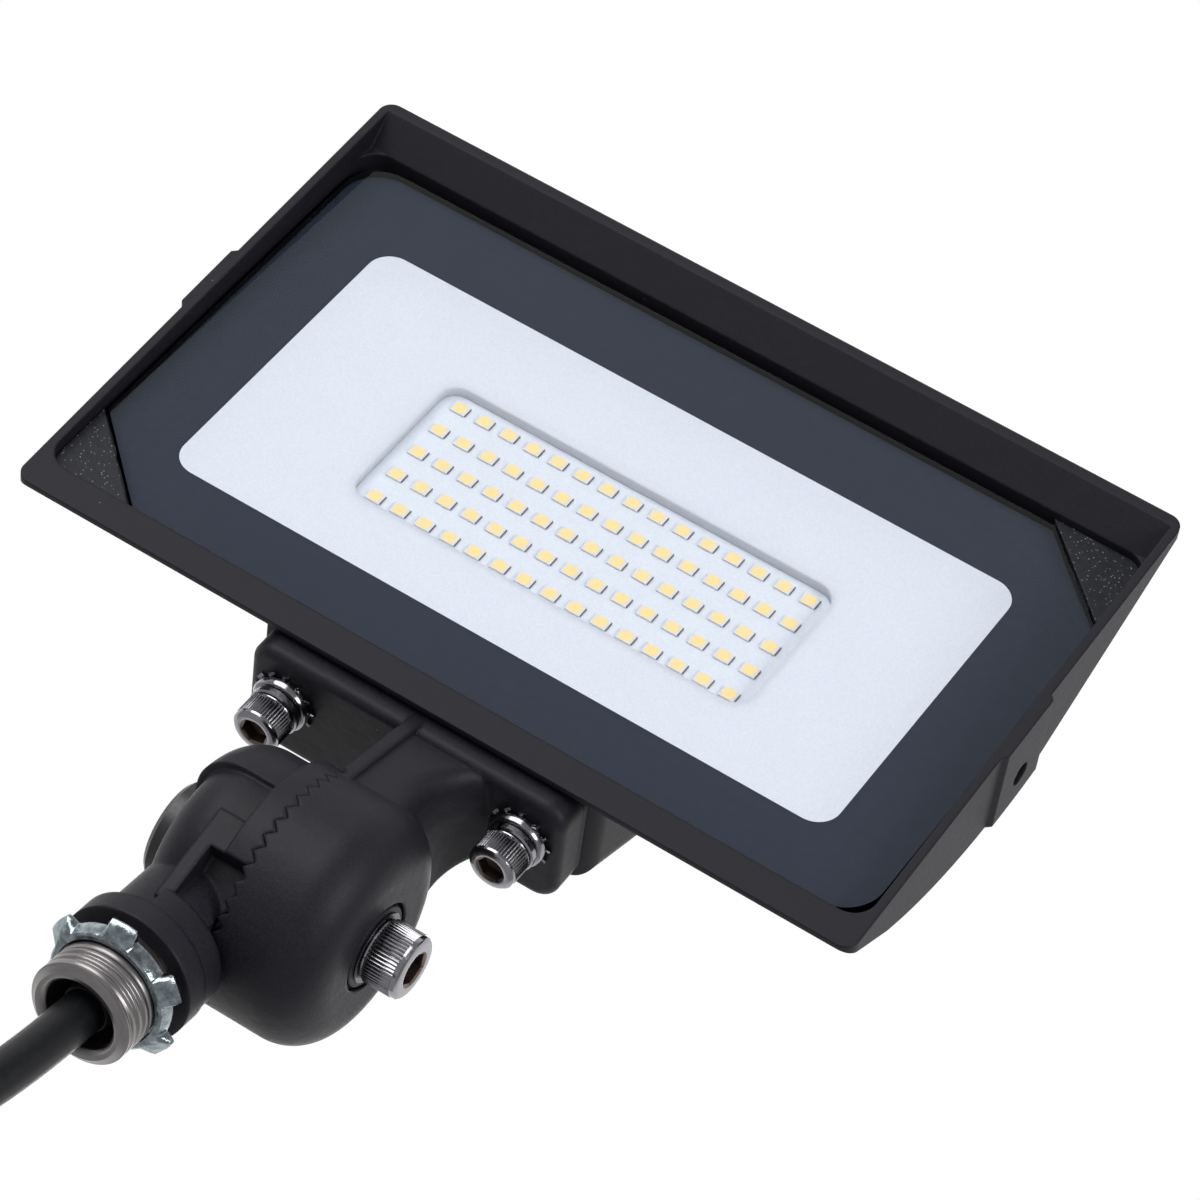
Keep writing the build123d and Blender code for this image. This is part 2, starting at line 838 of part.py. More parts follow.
# Pivot bolt with its washer: they turn with the arm
arm_seat = arm_end - arm_seat_depth
pivot_head_seat = arm_seat + pivot_washer_thickness
with BuildPart() as pivot_washer:
    with BuildSketch(knuckle_plane.offset(arm_seat)):
        Circle(pivot_washer_radius)
        Circle(pivot_radius + shank_clearance, mode=Mode.SUBTRACT)
    extrude(amount=pivot_washer_thickness)
save(pivot_washer, "pivot_washer")

pivot_end = hub_lower_end - nut_barrel_length / 4
with BuildPart() as pivot_bolt:
    with BuildSketch(knuckle_plane.offset(pivot_head_seat)):
        Circle(pivot_head_radius)
    extrude(amount=pivot_head_height)
    with BuildSketch(knuckle_plane.offset(pivot_head_seat)):
        Circle(pivot_radius)
    extrude(amount=pivot_end - pivot_head_seat)
    with BuildSketch(knuckle_plane.offset(pivot_head_seat + pivot_head_height)):
        RegularPolygon(pivot_socket_radius, 6)
    extrude(amount=-pivot_socket_depth, mode=Mode.SUBTRACT)
save(pivot_bolt, "pivot_bolt")

# Nut that closes the pivot on the other side: a capped barrel with a wide round head
with BuildPart() as pivot_nut:
    with BuildSketch(knuckle_plane.offset(hub_lower_end)):
        Circle(nut_barrel_radius)
    extrude(amount=nut_barrel_length)
    with BuildSketch(knuckle_plane.offset(hub_lower_end)):
        Circle(nut_disc_radius)
    extrude(amount=-nut_disc_thickness)
    chamfer(pivot_nut.faces().sort_by(Axis.X)[0].edges(), nut_disc_edge)
    with BuildSketch(knuckle_plane.offset(pivot_end - knuckle_recess)):
        Circle(pivot_radius + pivot_running_gap)
    extrude(amount=nut_disc_thickness + nut_barrel_length, mode=Mode.SUBTRACT)
save(pivot_nut, "pivot_nut")

# Base half: the hub's upper half stands a step proud of the lower half
with BuildPart() as hub_upper:
    with BuildSketch(knuckle_plane.offset(hub_end)):
        Circle(hub_radius)
    extrude(amount=seam_place - ring_width - hub_end)
    fillet(hub_upper.faces().sort_by(Axis.X)[0].edges(), hub_end_radius)
    split(bisect_by=Plane(origin=(0, 0, hinge_height)))

with BuildPart() as hub_lower:
    with BuildSketch(knuckle_plane.offset(hub_lower_end)):
        Circle(hub_radius - hub_step)
    extrude(amount=seam_place - ring_width - hub_lower_end)
    fillet(hub_lower.faces().sort_by(Axis.X)[0].edges(), hub_end_radius)

# Gusset at the front of the base: its sloping front leaves the hub at a tangent
gusset_right = seam_place - ring_width
gusset_rib_right = gusset_left + gusset_rib_thickness
gusset_foot = (-gusset_foot_depth, gusset_foot_height - hinge_height)
gusset_top_angle = atan2(-gusset_foot[1], -gusset_foot[0]) - acos(hub_radius / hypot(*gusset_foot))
gusset_top = (-hub_radius * cos(gusset_top_angle), -hub_radius * sin(gusset_top_angle))
gusset_slope = hypot(gusset_top[0] - gusset_foot[0], gusset_top[1] - gusset_foot[1])


def along_gusset(way, inset):
    """A point so far down the gusset's sloping front, and so far behind it."""
    down = ((gusset_foot[0] - gusset_top[0]) / gusset_slope, (gusset_foot[1] - gusset_top[1]) / gusset_slope)
    return (
        gusset_top[0] + way * down[0] - inset * down[1],
        gusset_top[1] + way * down[1] + inset * down[0],
    )


with BuildPart() as gusset:
    with BuildSketch(knuckle_plane.offset(gusset_left)):
        with BuildLine():
            Polyline(gusset_top, gusset_foot, (0, gusset_foot[1]), (0, gusset_top[1]), close=True)
        make_face()
    extrude(amount=gusset_right - gusset_left)

with BuildPart() as knuckle_base:
    with BuildSketch(knuckle_plane.offset(seam_place - ring_width)):
        Circle(serration_radius)
    extrude(amount=base_tips - seam_place + ring_width)
    add(hub_lower.part)
    add(hub_upper.part)
    add(gusset.part)
    # Pocket beside the gusset's rib: it goes on through the ring, so the arm's teeth show in it
    with BuildSketch(knuckle_plane.offset(gusset_rib_right)):
        with BuildLine():
            Polyline(
                along_gusset(gusset_lip, -ring_width),
                along_gusset(gusset_slope, -ring_width),
                along_gusset(gusset_slope, gusset_pocket_foot),
                along_gusset(gusset_lip, gusset_pocket_depth),
                close=True,
            )
        make_face()
    extrude(amount=base_tips - gusset_rib_right, mode=Mode.SUBTRACT)
    # Neck, the shoulder on its toothed side, and collar
    with BuildSketch(Plane.XY.offset(collar_top)):
        Circle(neck_radius)
        with Locations((neck_cut + neck_radius, 0)):
            Rectangle(2 * neck_radius, 2 * neck_radius, mode=Mode.SUBTRACT)
    extrude(amount=hinge_height - collar_top)
    with BuildSketch(Plane.XY.offset(collar_top)):
        Circle(shoulder_radius)
        with Locations((gusset_left + gusset_rib_thickness / 2 - shoulder_radius, 0)):
            Rectangle(2 * shoulder_radius, 2 * shoulder_radius, mode=Mode.SUBTRACT)
    extrude(amount=shoulder_top - collar_top)
    with BuildSketch(Plane.XY.offset(collar_bottom)):
        Circle(collar_radius)
    extrude(amount=collar_top - collar_bottom)
    # Bolt hole, nut pocket, recess inside the teeth, and the bore for the stub
    with BuildSketch(knuckle_plane.offset(hub_end)):
        Circle(pivot_radius + pivot_running_gap)
    extrude(amount=base_tips - hub_end, mode=Mode.SUBTRACT)
    with BuildSketch(knuckle_plane.offset(hub_lower_end)):
        Circle(nut_barrel_radius + nut_pocket_gap)
    extrude(amount=nut_barrel_length + nut_pocket_gap, mode=Mode.SUBTRACT)
    with BuildSketch(knuckle_plane.offset(hub_lower_end)):
        Circle(nut_disc_radius + nut_pocket_gap)
    extrude(amount=hub_end - hub_lower_end, mode=Mode.SUBTRACT)
    with BuildSketch(knuckle_plane.offset(base_tips)):
        Circle(serration_inner_radius)
    extrude(amount=-serration_depth - knuckle_recess, mode=Mode.SUBTRACT)
    with BuildSketch(Plane.XY.offset(collar_bottom)):
        Circle(stub_relief_radius)
    extrude(amount=stub_root_depth, mode=Mode.SUBTRACT)
    # Teeth, half a pitch on from the arm's
    with Locations(knuckle_plane):
        with PolarLocations(0, serration_teeth, start_angle=serration_start + 180 / serration_teeth):
            add(base_groove, mode=Mode.SUBTRACT)
save(knuckle_base, "knuckle_base")

# Threaded stub: its root stands in the collar. The thread is undercut at the locknut's outer
# face, so that a hub screws right up to the nut, and relieved again above the nut
with BuildPart() as threaded_stub:
    with BuildSketch(Plane.XY):
        Circle(stub_relief_radius)
    extrude(amount=collar_bottom + stub_root_depth)
    with BuildSketch(Plane.XY.offset(-stub_free_length)):
        Circle(stub_radius)
    extrude(amount=stub_free_length)
    with BuildSketch(Plane.XY.offset(stub_undercut)):
        Circle(stub_radius)
    extrude(amount=locknut_thickness + thread_past_nut - stub_undercut)
    chamfer(threaded_stub.faces().sort_by(Axis.Z)[0].edges(), stub_end_chamfer)
    with BuildSketch(Plane.XY.offset(-stub_free_length)):
        Circle(stub_bore_radius)
    extrude(amount=stub_free_length + collar_bottom + stub_root_depth, mode=Mode.SUBTRACT)
    chamfer(threaded_stub.faces().sort_by(Axis.Z)[0].edges().sort_by(SortBy.RADIUS)[0], stub_bore_chamfer)
save(threaded_stub, "threaded_stub")

# Locknut: a stamped ring with lugs bent out from its rim
with BuildPart() as locknut:
    with BuildSketch(Plane.XY):
        Circle(locknut_radius)
    extrude(amount=locknut_thickness)
    with BuildSketch(Plane.XY.offset(locknut_thickness)):
        with PolarLocations(locknut_radius, locknut_lugs, start_angle=180 / locknut_lugs):
            Rectangle(2 * lug_reach, lug_width)
    extrude(amount=-lug_height)
    with BuildSketch(Plane.XY):
        Circle(stub_radius + locknut_running_gap)
    extrude(amount=locknut_thickness, mode=Mode.SUBTRACT)
save(locknut, "locknut")

# Bushing that seals the cable in the stub's bore
with BuildPart() as cable_bushing:
    with BuildSketch(Plane.XY.offset(cable_start)):
        Circle(stub_bore_radius)
    extrude(amount=bushing_length)
save(cable_bushing, "cable_bushing")

# Coil: a helix about an axis along Y, which starts and ends at quarter turns
coil_middle = (coil_start[0] + coil_radius, coil_start[1], coil_start[2])
coil_climb = coil_pitch / (2 * pi)


def helix_point(quarter):
    """A point of the coil, so many quarter turns from its start."""
    turn = pi + quarter * pi / 2
    return Vector(
        coil_middle[0] + coil_radius * cos(turn),
        coil_middle[1] + coil_pitch * quarter / 4,
        coil_middle[2] + coil_radius * sin(turn),
    )


def helix_way(quarter):
    """The way in which the coil runs at that point."""
    turn = pi + quarter * pi / 2
    return Vector(-coil_radius * sin(turn), coil_climb, coil_radius * cos(turn)).normalized()


def biarc_joint(start, way_out, end, way_in):
    """The point where two arcs meet that leave and arrive in the given ways."""
    across = end - start
    both = way_out + way_in
    spread = 2 * (1 - way_out.dot(way_in))
    along = across.dot(both)
    reach = (sqrt(along * along + spread * across.dot(across)) - along) / spread
    return (start + way_out * reach + end - way_in * reach) * 0.5


with BuildLine() as coil_line:
    for quarter in range(coil_quarter_turns):
        start = helix_point(quarter)
        end = helix_point(quarter + 1)
        joint = biarc_joint(start, helix_way(quarter), end, helix_way(quarter + 1))
        first = TangentArc(start, joint, tangent=helix_way(quarter))
        TangentArc(joint, end, tangent=first % 1)
with BuildPart() as cable_coil:
    with BuildSketch(Plane(origin=helix_point(0), z_dir=helix_way(0))):
        Circle(cable_radius)
    sweep(path=coil_line.wires()[0])
save(cable_coil, "cable_coil")

# Free stretch of the cable, from the bushing to the coil: straight runs joined by arcs
route = [Vector(0, 0, cable_start)]
route += [Vector(*point) for point in cable_route]
route += [helix_point(0) - helix_way(0) * coil_lead_in, helix_point(0)]
runs = [(after - before).length for before, after in zip(route, route[1:])]
turns = [
    radians((here - before).get_angle(after - here))
    for before, here, after in zip(route, route[1:], route[2:])
]
bend_radii = [0.45 * min(pair) / tan(turn / 2) for pair, turn in zip(zip(runs, runs[1:]), turns)]
print("cable bend radii", [round(radius, 1) for radius in bend_radii])
with BuildLine() as cable_line:
    FilletPolyline(*route, radius=bend_radii)
with BuildPart() as power_cable:
    with BuildSketch(Plane(origin=route[0], z_dir=(0, 0, -1))):
        Circle(cable_radius)
    sweep(path=cable_line.wires()[0])
save(power_cable, "power_cable")

# Lengths, and the least gap between one turn and the next
for name, line, piece in (("cable", cable_line, power_cable), ("coil", coil_line, cable_coil)):
    length = line.wires()[0].length
    section = pi * cable_radius**2
    print(name, "length", round(length, 1), "volume share", round(piece.part.volume / (section * length), 4))
samples = [coil_line.wires()[0] @ (step / 350) for step in range(351)]
step_length = coil_line.wires()[0].length / 350
turn_gaps = [
    (samples[a] - samples[b]).length - 2 * cable_radius
    for a in range(351)
    for b in range(a + 1, 351)
    if (b - a) * step_length > pi * coil_radius
]
print("least gap between the coil's turns", round(min(turn_gaps), 2))
approach = [cable_line.wires()[0] @ (step / 100) for step in range(101)]
line_gaps = [(here - there).length - 2 * cable_radius for here in approach for there in samples[80:]]
print("least gap between the coil and the free stretch", round(min(line_gaps), 2))

# Tie round the coil's lower side
tie_centre = (helix_point(1) + helix_point(5)) * 0.5
with BuildPart() as coil_tie:
    with BuildSketch(Plane(origin=tie_centre, x_dir=(0, 1, 0), z_dir=(1, 0, 0))):
        SlotCenterToCenter(coil_pitch, 2 * (cable_radius + tie_gap + tie_thickness))
        SlotCenterToCenter(coil_pitch, 2 * (cable_radius + tie_gap), mode=Mode.SUBTRACT)
    extrude(amount=tie_width / 2, both=True)
save(coil_tie, "coil_tie")

# Three conductors leave the cable's cut end, each stripped at its tip
end_plane = Plane(origin=helix_point(coil_quarter_turns), x_dir=(0, 1, 0), z_dir=helix_way(coil_quarter_turns))
for number, label in enumerate(("lead_black", "lead_white", "lead_green")):
    angle = 90 + 120 * number
    place = (lead_spacing * cos(radians(angle)), lead_spacing * sin(radians(angle)))
    with BuildPart() as lead:
        with BuildSketch(end_plane):
            with Locations(place):
                Circle(lead_radius)
        extrude(amount=lead_length)
    save(lead, label)
with BuildPart() as lead_tips:
    with BuildSketch(end_plane.offset(lead_length)):
        with PolarLocations(lead_spacing, 3, start_angle=90):
            Circle(tip_radius)
    extrude(amount=tip_length)
save(lead_tips, "lead_tips")
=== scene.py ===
"""LED floodlight on a serrated tilting knuckle: its finishes, fine forms, cable and studio."""

from math import atan2, cos, pi, radians, sin, tau

import bmesh
import bpy
from bpy.props import FloatProperty, FloatVectorProperty, IntProperty, PointerProperty
from bpy.types import Operator, Panel, PropertyGroup
from mathutils import Matrix, Vector


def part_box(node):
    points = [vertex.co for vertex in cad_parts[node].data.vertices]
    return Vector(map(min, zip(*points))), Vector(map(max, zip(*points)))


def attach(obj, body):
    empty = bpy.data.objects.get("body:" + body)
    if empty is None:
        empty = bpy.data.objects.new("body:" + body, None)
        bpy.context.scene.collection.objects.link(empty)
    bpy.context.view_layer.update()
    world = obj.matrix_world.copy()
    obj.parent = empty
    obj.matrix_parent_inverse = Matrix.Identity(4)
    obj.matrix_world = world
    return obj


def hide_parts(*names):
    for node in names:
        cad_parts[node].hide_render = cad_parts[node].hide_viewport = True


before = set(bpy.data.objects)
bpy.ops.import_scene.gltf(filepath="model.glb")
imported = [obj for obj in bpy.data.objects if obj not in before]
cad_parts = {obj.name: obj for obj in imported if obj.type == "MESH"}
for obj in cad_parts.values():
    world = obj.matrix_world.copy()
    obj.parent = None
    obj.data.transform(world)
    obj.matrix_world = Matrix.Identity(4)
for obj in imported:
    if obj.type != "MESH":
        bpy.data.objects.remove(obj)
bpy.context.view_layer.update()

bl_info = {
    "name": "LED floodlight",
    "version": (1, 0, 0),
    "blender": (4, 5, 0),
    "location": "3D View > Sidebar > Floodlight",
    "description": "Dresses a packed LED floodlight with finishes, fine forms and a studio",
    "category": "Object",
}

MM = 0.001

# Lengths of the part and of its fine forms, in millimetres, and the head's lean in degrees
HINGE_HEIGHT = 42.8
HEAD_LEAN = 10.5
HEAD_OFFSET = 9.5
HINGE_BEHIND_GLASS = 11.6
HINGE_BELOW_GLASS = 101.4
GLASS_HALF_WIDTH = 90.4
GLASS_BOTTOM, GLASS_TOP = -52.1, 54.3
GLASS_CUT_WIDTH, GLASS_CUT_HEIGHT = 19.5, 18.4
PRINT_MARGIN, PRINT_DEPTH, PRINT_THICKNESS = 0.25, 2.75, 0.12
PRINT_CORNER_RADIUS = 8.5
PACKAGE_COLUMNS, PACKAGE_ROWS = 15, 5
PACKAGE_PITCH_X, PACKAGE_PITCH_Z = 5.79, 7.35
PACKAGE_LENGTH, PACKAGE_THICKNESS, PACKAGE_HEIGHT = 3.5, 0.4, 2.8
PACKAGE_DEPTH = 9.19
FLANGE_SCREW_REACH = 26.5
FLANGE_UNDERSIDE = -64.0
PIVOT_SEAT, PIVOT_BOLT_END = 27.9, 37.9

# The head's own frame, as in the part: X right, Y towards the back, Z up to the visor, and its
# origin in the middle of the glass's front face. It leans about the hinge.
HEAD = (
    Matrix.Translation((0, 0, HINGE_HEIGHT * MM))
    @ Matrix.Rotation(radians(HEAD_LEAN), 4, "X")
    @ Matrix.Translation((HEAD_OFFSET * MM, -HINGE_BEHIND_GLASS * MM, HINGE_BELOW_GLASS * MM))
)
# The knuckle's frame: Z runs along the hinge to the right, from the part's own middle plane
KNUCKLE = Matrix.Translation((0, 0, HINGE_HEIGHT * MM)) @ Matrix.Rotation(pi / 2, 4, "Y")


def linear(code):
    """Turn an sRGB hex colour into the linear colour that shaders take."""
    parts = [int(code[place : place + 2], 16) / 255 for place in (1, 3, 5)]
    return tuple(
        part / 12.92 if part <= 0.04045 else ((part + 0.055) / 1.055) ** 2.4 for part in parts
    )


def colour(name, note, code):
    """A colour that a user can change."""
    return FloatVectorProperty(
        name=name, description=note, subtype="COLOR", size=3, min=0, max=1, default=linear(code)
    )


def length(name, note, millimetres):
    """A length that a user can change."""
    return FloatProperty(
        name=name, description=note, unit="LENGTH", default=millimetres * MM, precision=5
    )


def setting(name, note, value, **kind):
    """A plain number that a user can change."""
    return FloatProperty(name=name, description=note, default=value, **kind)


def count(name, note, number):
    """A count that a user can change."""
    return IntProperty(name=name, description=note, default=number)


class FloodlightFinishes(PropertyGroup):
    """Colours of the floodlight's finishes."""

    coat: colour("Powder coat", "Black powder coat on the castings", "#18171e")
    # The border's blue-grey is black print with a painted reflection in it
    border: colour("Glass border", "Ceramic print on the back of the glass", "#2d333f")
    tray: colour("Reflector", "White reflector tray", "#d6dae3")
    mask: colour("Circuit board", "White solder mask", "#d8dde5")
    phosphor: colour("Phosphor", "Light-emitting faces of the packages", "#f9d992")
    steel: colour("Stainless steel", "Screws and washers", "#9a999e")
    zinc: colour("Zinc plate", "Locknut", "#a9b5ba")
    aluminium: colour("Aluminium", "Machined thread of the stub", "#8f8b8b")
    jacket: colour("Cable jacket", "Outside of the cable", "#0f1014")


class FloodlightSizes(PropertyGroup):
    """Sizes of the floodlight's fine forms."""

    window_width: length("Window width", "Clear window in the glass border", 148.4)
    window_height: length("Window height", "Clear window in the glass border", 72.8)
    window_radius: length("Window corner", "Corner radius of the window", 5.2)
    thread_pitch: length("Thread pitch", "Pitch of the stub's thread", 1.814)
    thread_depth: length("Thread depth", "Depth of the stub's thread", 0.5)
    knurl_depth: length("Knurl depth", "Depth of the grooves on the screw heads", 0.3)
    flange_knurls: count("Flange screw knurls", "Grooves round a flange screw", 48)
    pivot_knurls: count("Pivot bolt knurls", "Grooves round the pivot bolt", 54)
    tooth_twist: setting("Tooth twist", "Twist of the washers' teeth", radians(28), subtype="ANGLE")


class FloodlightStudio(PropertyGroup):
    """Light and camera of the studio."""

    sky: setting("Sky", "Strength of the light from all round", 0.42)
    key: setting("Key light", "Power of the front light", 17, subtype="POWER")
    side: setting("Side light", "Power of the light on the right", 10, subtype="POWER")
    back: setting("Back light", "Power of the light behind", 8, subtype="POWER")
    room: setting("Room", "Brightness of the room behind the camera", 0.3)
    lens: setting("Lens", "Focal length of the camera", 149.73, unit="CAMERA")


def finishes():
    """The colours in use."""
    return bpy.context.scene.floodlight_finishes


def sizes():
    """The fine sizes in use."""
    return bpy.context.scene.floodlight_sizes


def node(tree, kind, inputs=None, **settings):
    """Add a shader node with its settings; an input takes a value, or another node's output."""
    made = tree.nodes.new(kind)
    for name, value in settings.items():
        setattr(made, name, value)
    for name, value in (inputs or {}).items():
        if isinstance(value, bpy.types.NodeSocket):
            tree.links.new(value, made.inputs[name])
        else:
            made.inputs[name].default_value = value
    return made


def material(name):
    """Start a material: it gives the node tree, its shader and the object's own coordinates."""
    made = bpy.data.materials.new(name)
    made.use_nodes = True
    tree = made.node_tree
    shader = tree.nodes["Principled BSDF"]
    return made, tree, shader, node(tree, "ShaderNodeTexCoord").outputs["Object"]


def grain(tree, place, millimetres, detail=2.0, rough=0.5):
    """A noise whose grains are so many millimetres across."""
    return node(
        tree,
        "ShaderNodeTexNoise",
        {"Vector": place, "Scale": 1 / (millimetres * MM), "Detail": detail, "Roughness": rough},
    ).outputs["Fac"]


def spread(tree, value, start, end, low, high, **settings):
    """Map a value between two limits onto two other numbers."""
    inputs = {"Value": value, "From Min": start, "From Max": end, "To Min": low, "To Max": high}
    return node(tree, "ShaderNodeMapRange", inputs, **settings).outputs["Result"]


def between(tree, noise, low, high):
    """Turn a noise into a range of numbers: it seldom leaves 0.3 to 0.7."""
    return spread(tree, noise, 0.3, 0.7, low, high)


def calculated(tree, operation, first, second=None):
    """The result of a calculation with one or two numbers."""
    inputs = {0: first} if second is None else {0: first, 1: second}
    return node(tree, "ShaderNodeMath", inputs, operation=operation).outputs["Value"]


def dotted(tree, way, direction):
    """How far a vector runs along a direction."""
    inputs = {0: way, 1: direction}
    return node(tree, "ShaderNodeVectorMath", inputs, operation="DOT_PRODUCT").outputs["Value"]


def shades(tree, share, under, over):
    """Blend two colours by a share; the first may be another node's output."""
    if not isinstance(under, bpy.types.NodeSocket):
        under = (*under, 1)
    inputs = {"Factor": share, "A": under, "B": (*over, 1)}
    return node(tree, "ShaderNodeMix", inputs, data_type="RGBA").outputs["Result"]


def bump(tree, shader, height, millimetres, under=None):
    """Raise the surface by a height of so many millimetres, over another normal if one is given."""
    inputs = {"Height": height, "Distance": millimetres * MM}
    if under is not None:
        inputs["Normal"] = under
    made = node(tree, "ShaderNodeBump", inputs).outputs["Normal"]
    tree.links.new(made, shader.inputs["Normal"])
    return made


def mixed(tree, noise, dark, light):
    """Blend a dark and a light tone of one colour by a noise."""
    return shades(tree, between(tree, noise, 0, 1), dark, light)


def toned(base, factor):
    """A colour made darker or lighter."""
    return tuple(min(1, part * factor) for part in base)


def rounded(tree, millimetres):
    """The surface's normal, with its edges and corners so many millimetres round."""
    inputs = {"Radius": millimetres * MM}
    return node(tree, "ShaderNodeBevel", inputs, samples=8).outputs["Normal"]


def powder_coat(name, base, grain_size, depth, rough, edge, glint_gap=7):
    """Epoxy-polyester powder coat, sprayed and baked: matt, with a fine orange peel and grain.

    It flows over the casting's edges and into its corners, and leaves them so many millimetres
    round. The grain's size, its depth and the gap between the painted glints are in millimetres
    too.
    """
    made, tree, shader, place = material(name)
    fine = grain(tree, place, grain_size, 3.0, 0.6)
    peel = grain(tree, place, 7 * grain_size, 1.0)
    # Painted glints: bright specks 0.2 mm across and so many millimetres apart
    cells = node(tree, "ShaderNodeTexVoronoi", {"Vector": place, "Scale": 1 / (glint_gap * MM)})
    painted_glint = spread(tree, cells.outputs["Distance"], 0.08 / glint_gap, 0.16 / glint_gap, 1, 0)
    coat = mixed(tree, fine, toned(base, 0.75), toned(base, 1.4))
    tree.links.new(shades(tree, painted_glint, coat, linear("#8a8a90")), shader.inputs["Base Color"])
    tree.links.new(between(tree, fine, rough - 0.05, rough + 0.07), shader.inputs["Roughness"])
    shader.inputs["IOR"].default_value = 1.5
    shader.inputs["Specular IOR Level"].default_value = 0.24
    first = bump(tree, shader, peel, 2.2 * depth, rounded(tree, edge))
    bump(tree, shader, fine, depth, first)
    return made


def metal(name, base, rough, streak, depth, axis=None, dark=0.9):
    """Bare metal, drawn, turned or plated: its grain runs in streaks or in blotches."""
    made, tree, shader, place = material(name)
    if axis is not None:
        place = node(tree, "ShaderNodeMapping", {"Vector": place, "Scale": axis}).outputs["Vector"]
    marks = grain(tree, place, streak, 3.0, 0.6)
    tone = mixed(tree, marks, toned(base, dark), toned(base, 1.06))
    tree.links.new(tone, shader.inputs["Base Color"])
    tree.links.new(between(tree, marks, rough - 0.05, rough + 0.08), shader.inputs["Roughness"])
    shader.inputs["Metallic"].default_value = 1.0
    bump(tree, shader, marks, depth)
    return made


def plastic(name, base, rough, grain_size, depth, ior=1.5, seep=0, edge=0, shine=0.5):
    """Moulded plastic, rubber or solder mask, with its grain.

    Light seeps so many millimetres in, and the edges look so many millimetres round. Where they
    are round, the grain has no depth.
    """
    made, tree, shader, place = material(name)
    fine = grain(tree, place, grain_size, 2.0)
    tone = mixed(tree, fine, toned(base, 0.95), toned(base, 1.04))
    tree.links.new(tone, shader.inputs["Base Color"])
    tree.links.new(between(tree, fine, rough - 0.04, rough + 0.05), shader.inputs["Roughness"])
    shader.inputs["IOR"].default_value = ior
    shader.inputs["Specular IOR Level"].default_value = shine
    if seep:
        shader.inputs["Subsurface Weight"].default_value = 1.0
        shader.inputs["Subsurface Radius"].default_value = (1, 1, 1)
        shader.inputs["Subsurface Scale"].default_value = seep * MM
    if edge:
        tree.links.new(rounded(tree, edge), shader.inputs["Normal"])
    elif depth:
        bump(tree, shader, fine, depth)
    return made


def either(tree, share, first, second):
    """Mix two shaders by a share."""
    inputs = {0: share, 1: first, 2: second}
    return node(tree, "ShaderNodeMixShader", inputs).outputs["Shader"]


def clear_glass(name):
    """Tempered float glass: smooth, faintly blue, and its shadow lets the light through."""
    made, tree, shader, place = material(name)
    tint = (0.985, 0.992, 1.0, 1)
    shader.inputs["Base Color"].default_value = tint
    shader.inputs["Transmission Weight"].default_value = 1.0
    shader.inputs["IOR"].default_value = 1.52
    shader.inputs["Roughness"].default_value = 0.0
    # Roller waves left by tempering, some 30 mm apart and thousandths of a millimetre deep
    bump(tree, shader, grain(tree, place, 30, 0.0), 0.004)
    ray = node(tree, "ShaderNodeLightPath").outputs
    thin = node(tree, "ShaderNodeBsdfTransparent", {"Color": tint}).outputs["BSDF"]
    passing = calculated(tree, "MAXIMUM", ray["Is Shadow Ray"], ray["Is Diffuse Ray"])
    pane = either(tree, passing, shader.outputs["BSDF"], thin)
    # The edge is ground matt, and dark with the sealant behind it
    facing = node(tree, "ShaderNodeTexCoord").outputs["Normal"]
    square = dotted(tree, facing, HEAD.to_3x3() @ Vector((0, 1, 0)))
    rim = calculated(tree, "LESS_THAN", calculated(tree, "ABSOLUTE", square), 0.9)
    ground = node(tree, "ShaderNodeBsdfDiffuse", {"Color": (*linear("#15161b"), 1)})
    whole = either(tree, rim, pane, ground.outputs["BSDF"])
    tree.links.new(whole, tree.nodes["Material Output"].inputs["Surface"])
    return made


def wear(name, made):
    """Give a CAD node's object its finish."""
    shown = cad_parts[name]
    shown.data.materials.clear()
    shown.data.materials.append(made)


def bevel(bm, geom, millimetres, segments, affect="EDGES"):
    """Round edges or corners by so many millimetres."""
    bmesh.ops.bevel(
        bm,
        geom=geom,
        offset=millimetres * MM,
        offset_type="OFFSET",
        segments=segments,
        profile=0.5,
        material=-1,
        affect=affect,
    )


def block(bm, width, depth, height):
    """Add a box of so many millimetres and give its corners."""
    verts = bmesh.ops.create_cube(bm, size=1)["verts"]
    bmesh.ops.scale(bm, vec=(width * MM, depth * MM, height * MM), verts=verts)
    return verts


def finish_piece(bm, name, body, materials, replaces=(), place=None, smooth=True):
    """Turn a finished bmesh into a piece that rides on a body."""
    if place is not None:
        bmesh.ops.transform(bm, matrix=place, verts=bm.verts)
    bmesh.ops.remove_doubles(bm, verts=bm.verts, dist=0.001 * MM)
    bmesh.ops.recalc_face_normals(bm, faces=bm.faces)
    mesh = bpy.data.meshes.new(name)
    bm.to_mesh(mesh)
    bm.free()
    for made in materials:
        mesh.materials.append(made)
    if smooth:
        mesh.shade_smooth()
        mesh.set_sharp_from_angle(angle=radians(32))
    piece = bpy.data.objects.new(name, mesh)
    bpy.context.collection.objects.link(piece)
    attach(piece, body)
    if replaces:
        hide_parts(*replaces)
    return piece


def at_angle(reach, angle, height):
    """A ring's radius in metres: a plain number, or a function of the angle and the height."""
    return (reach(angle, height) if callable(reach) else reach) * MM


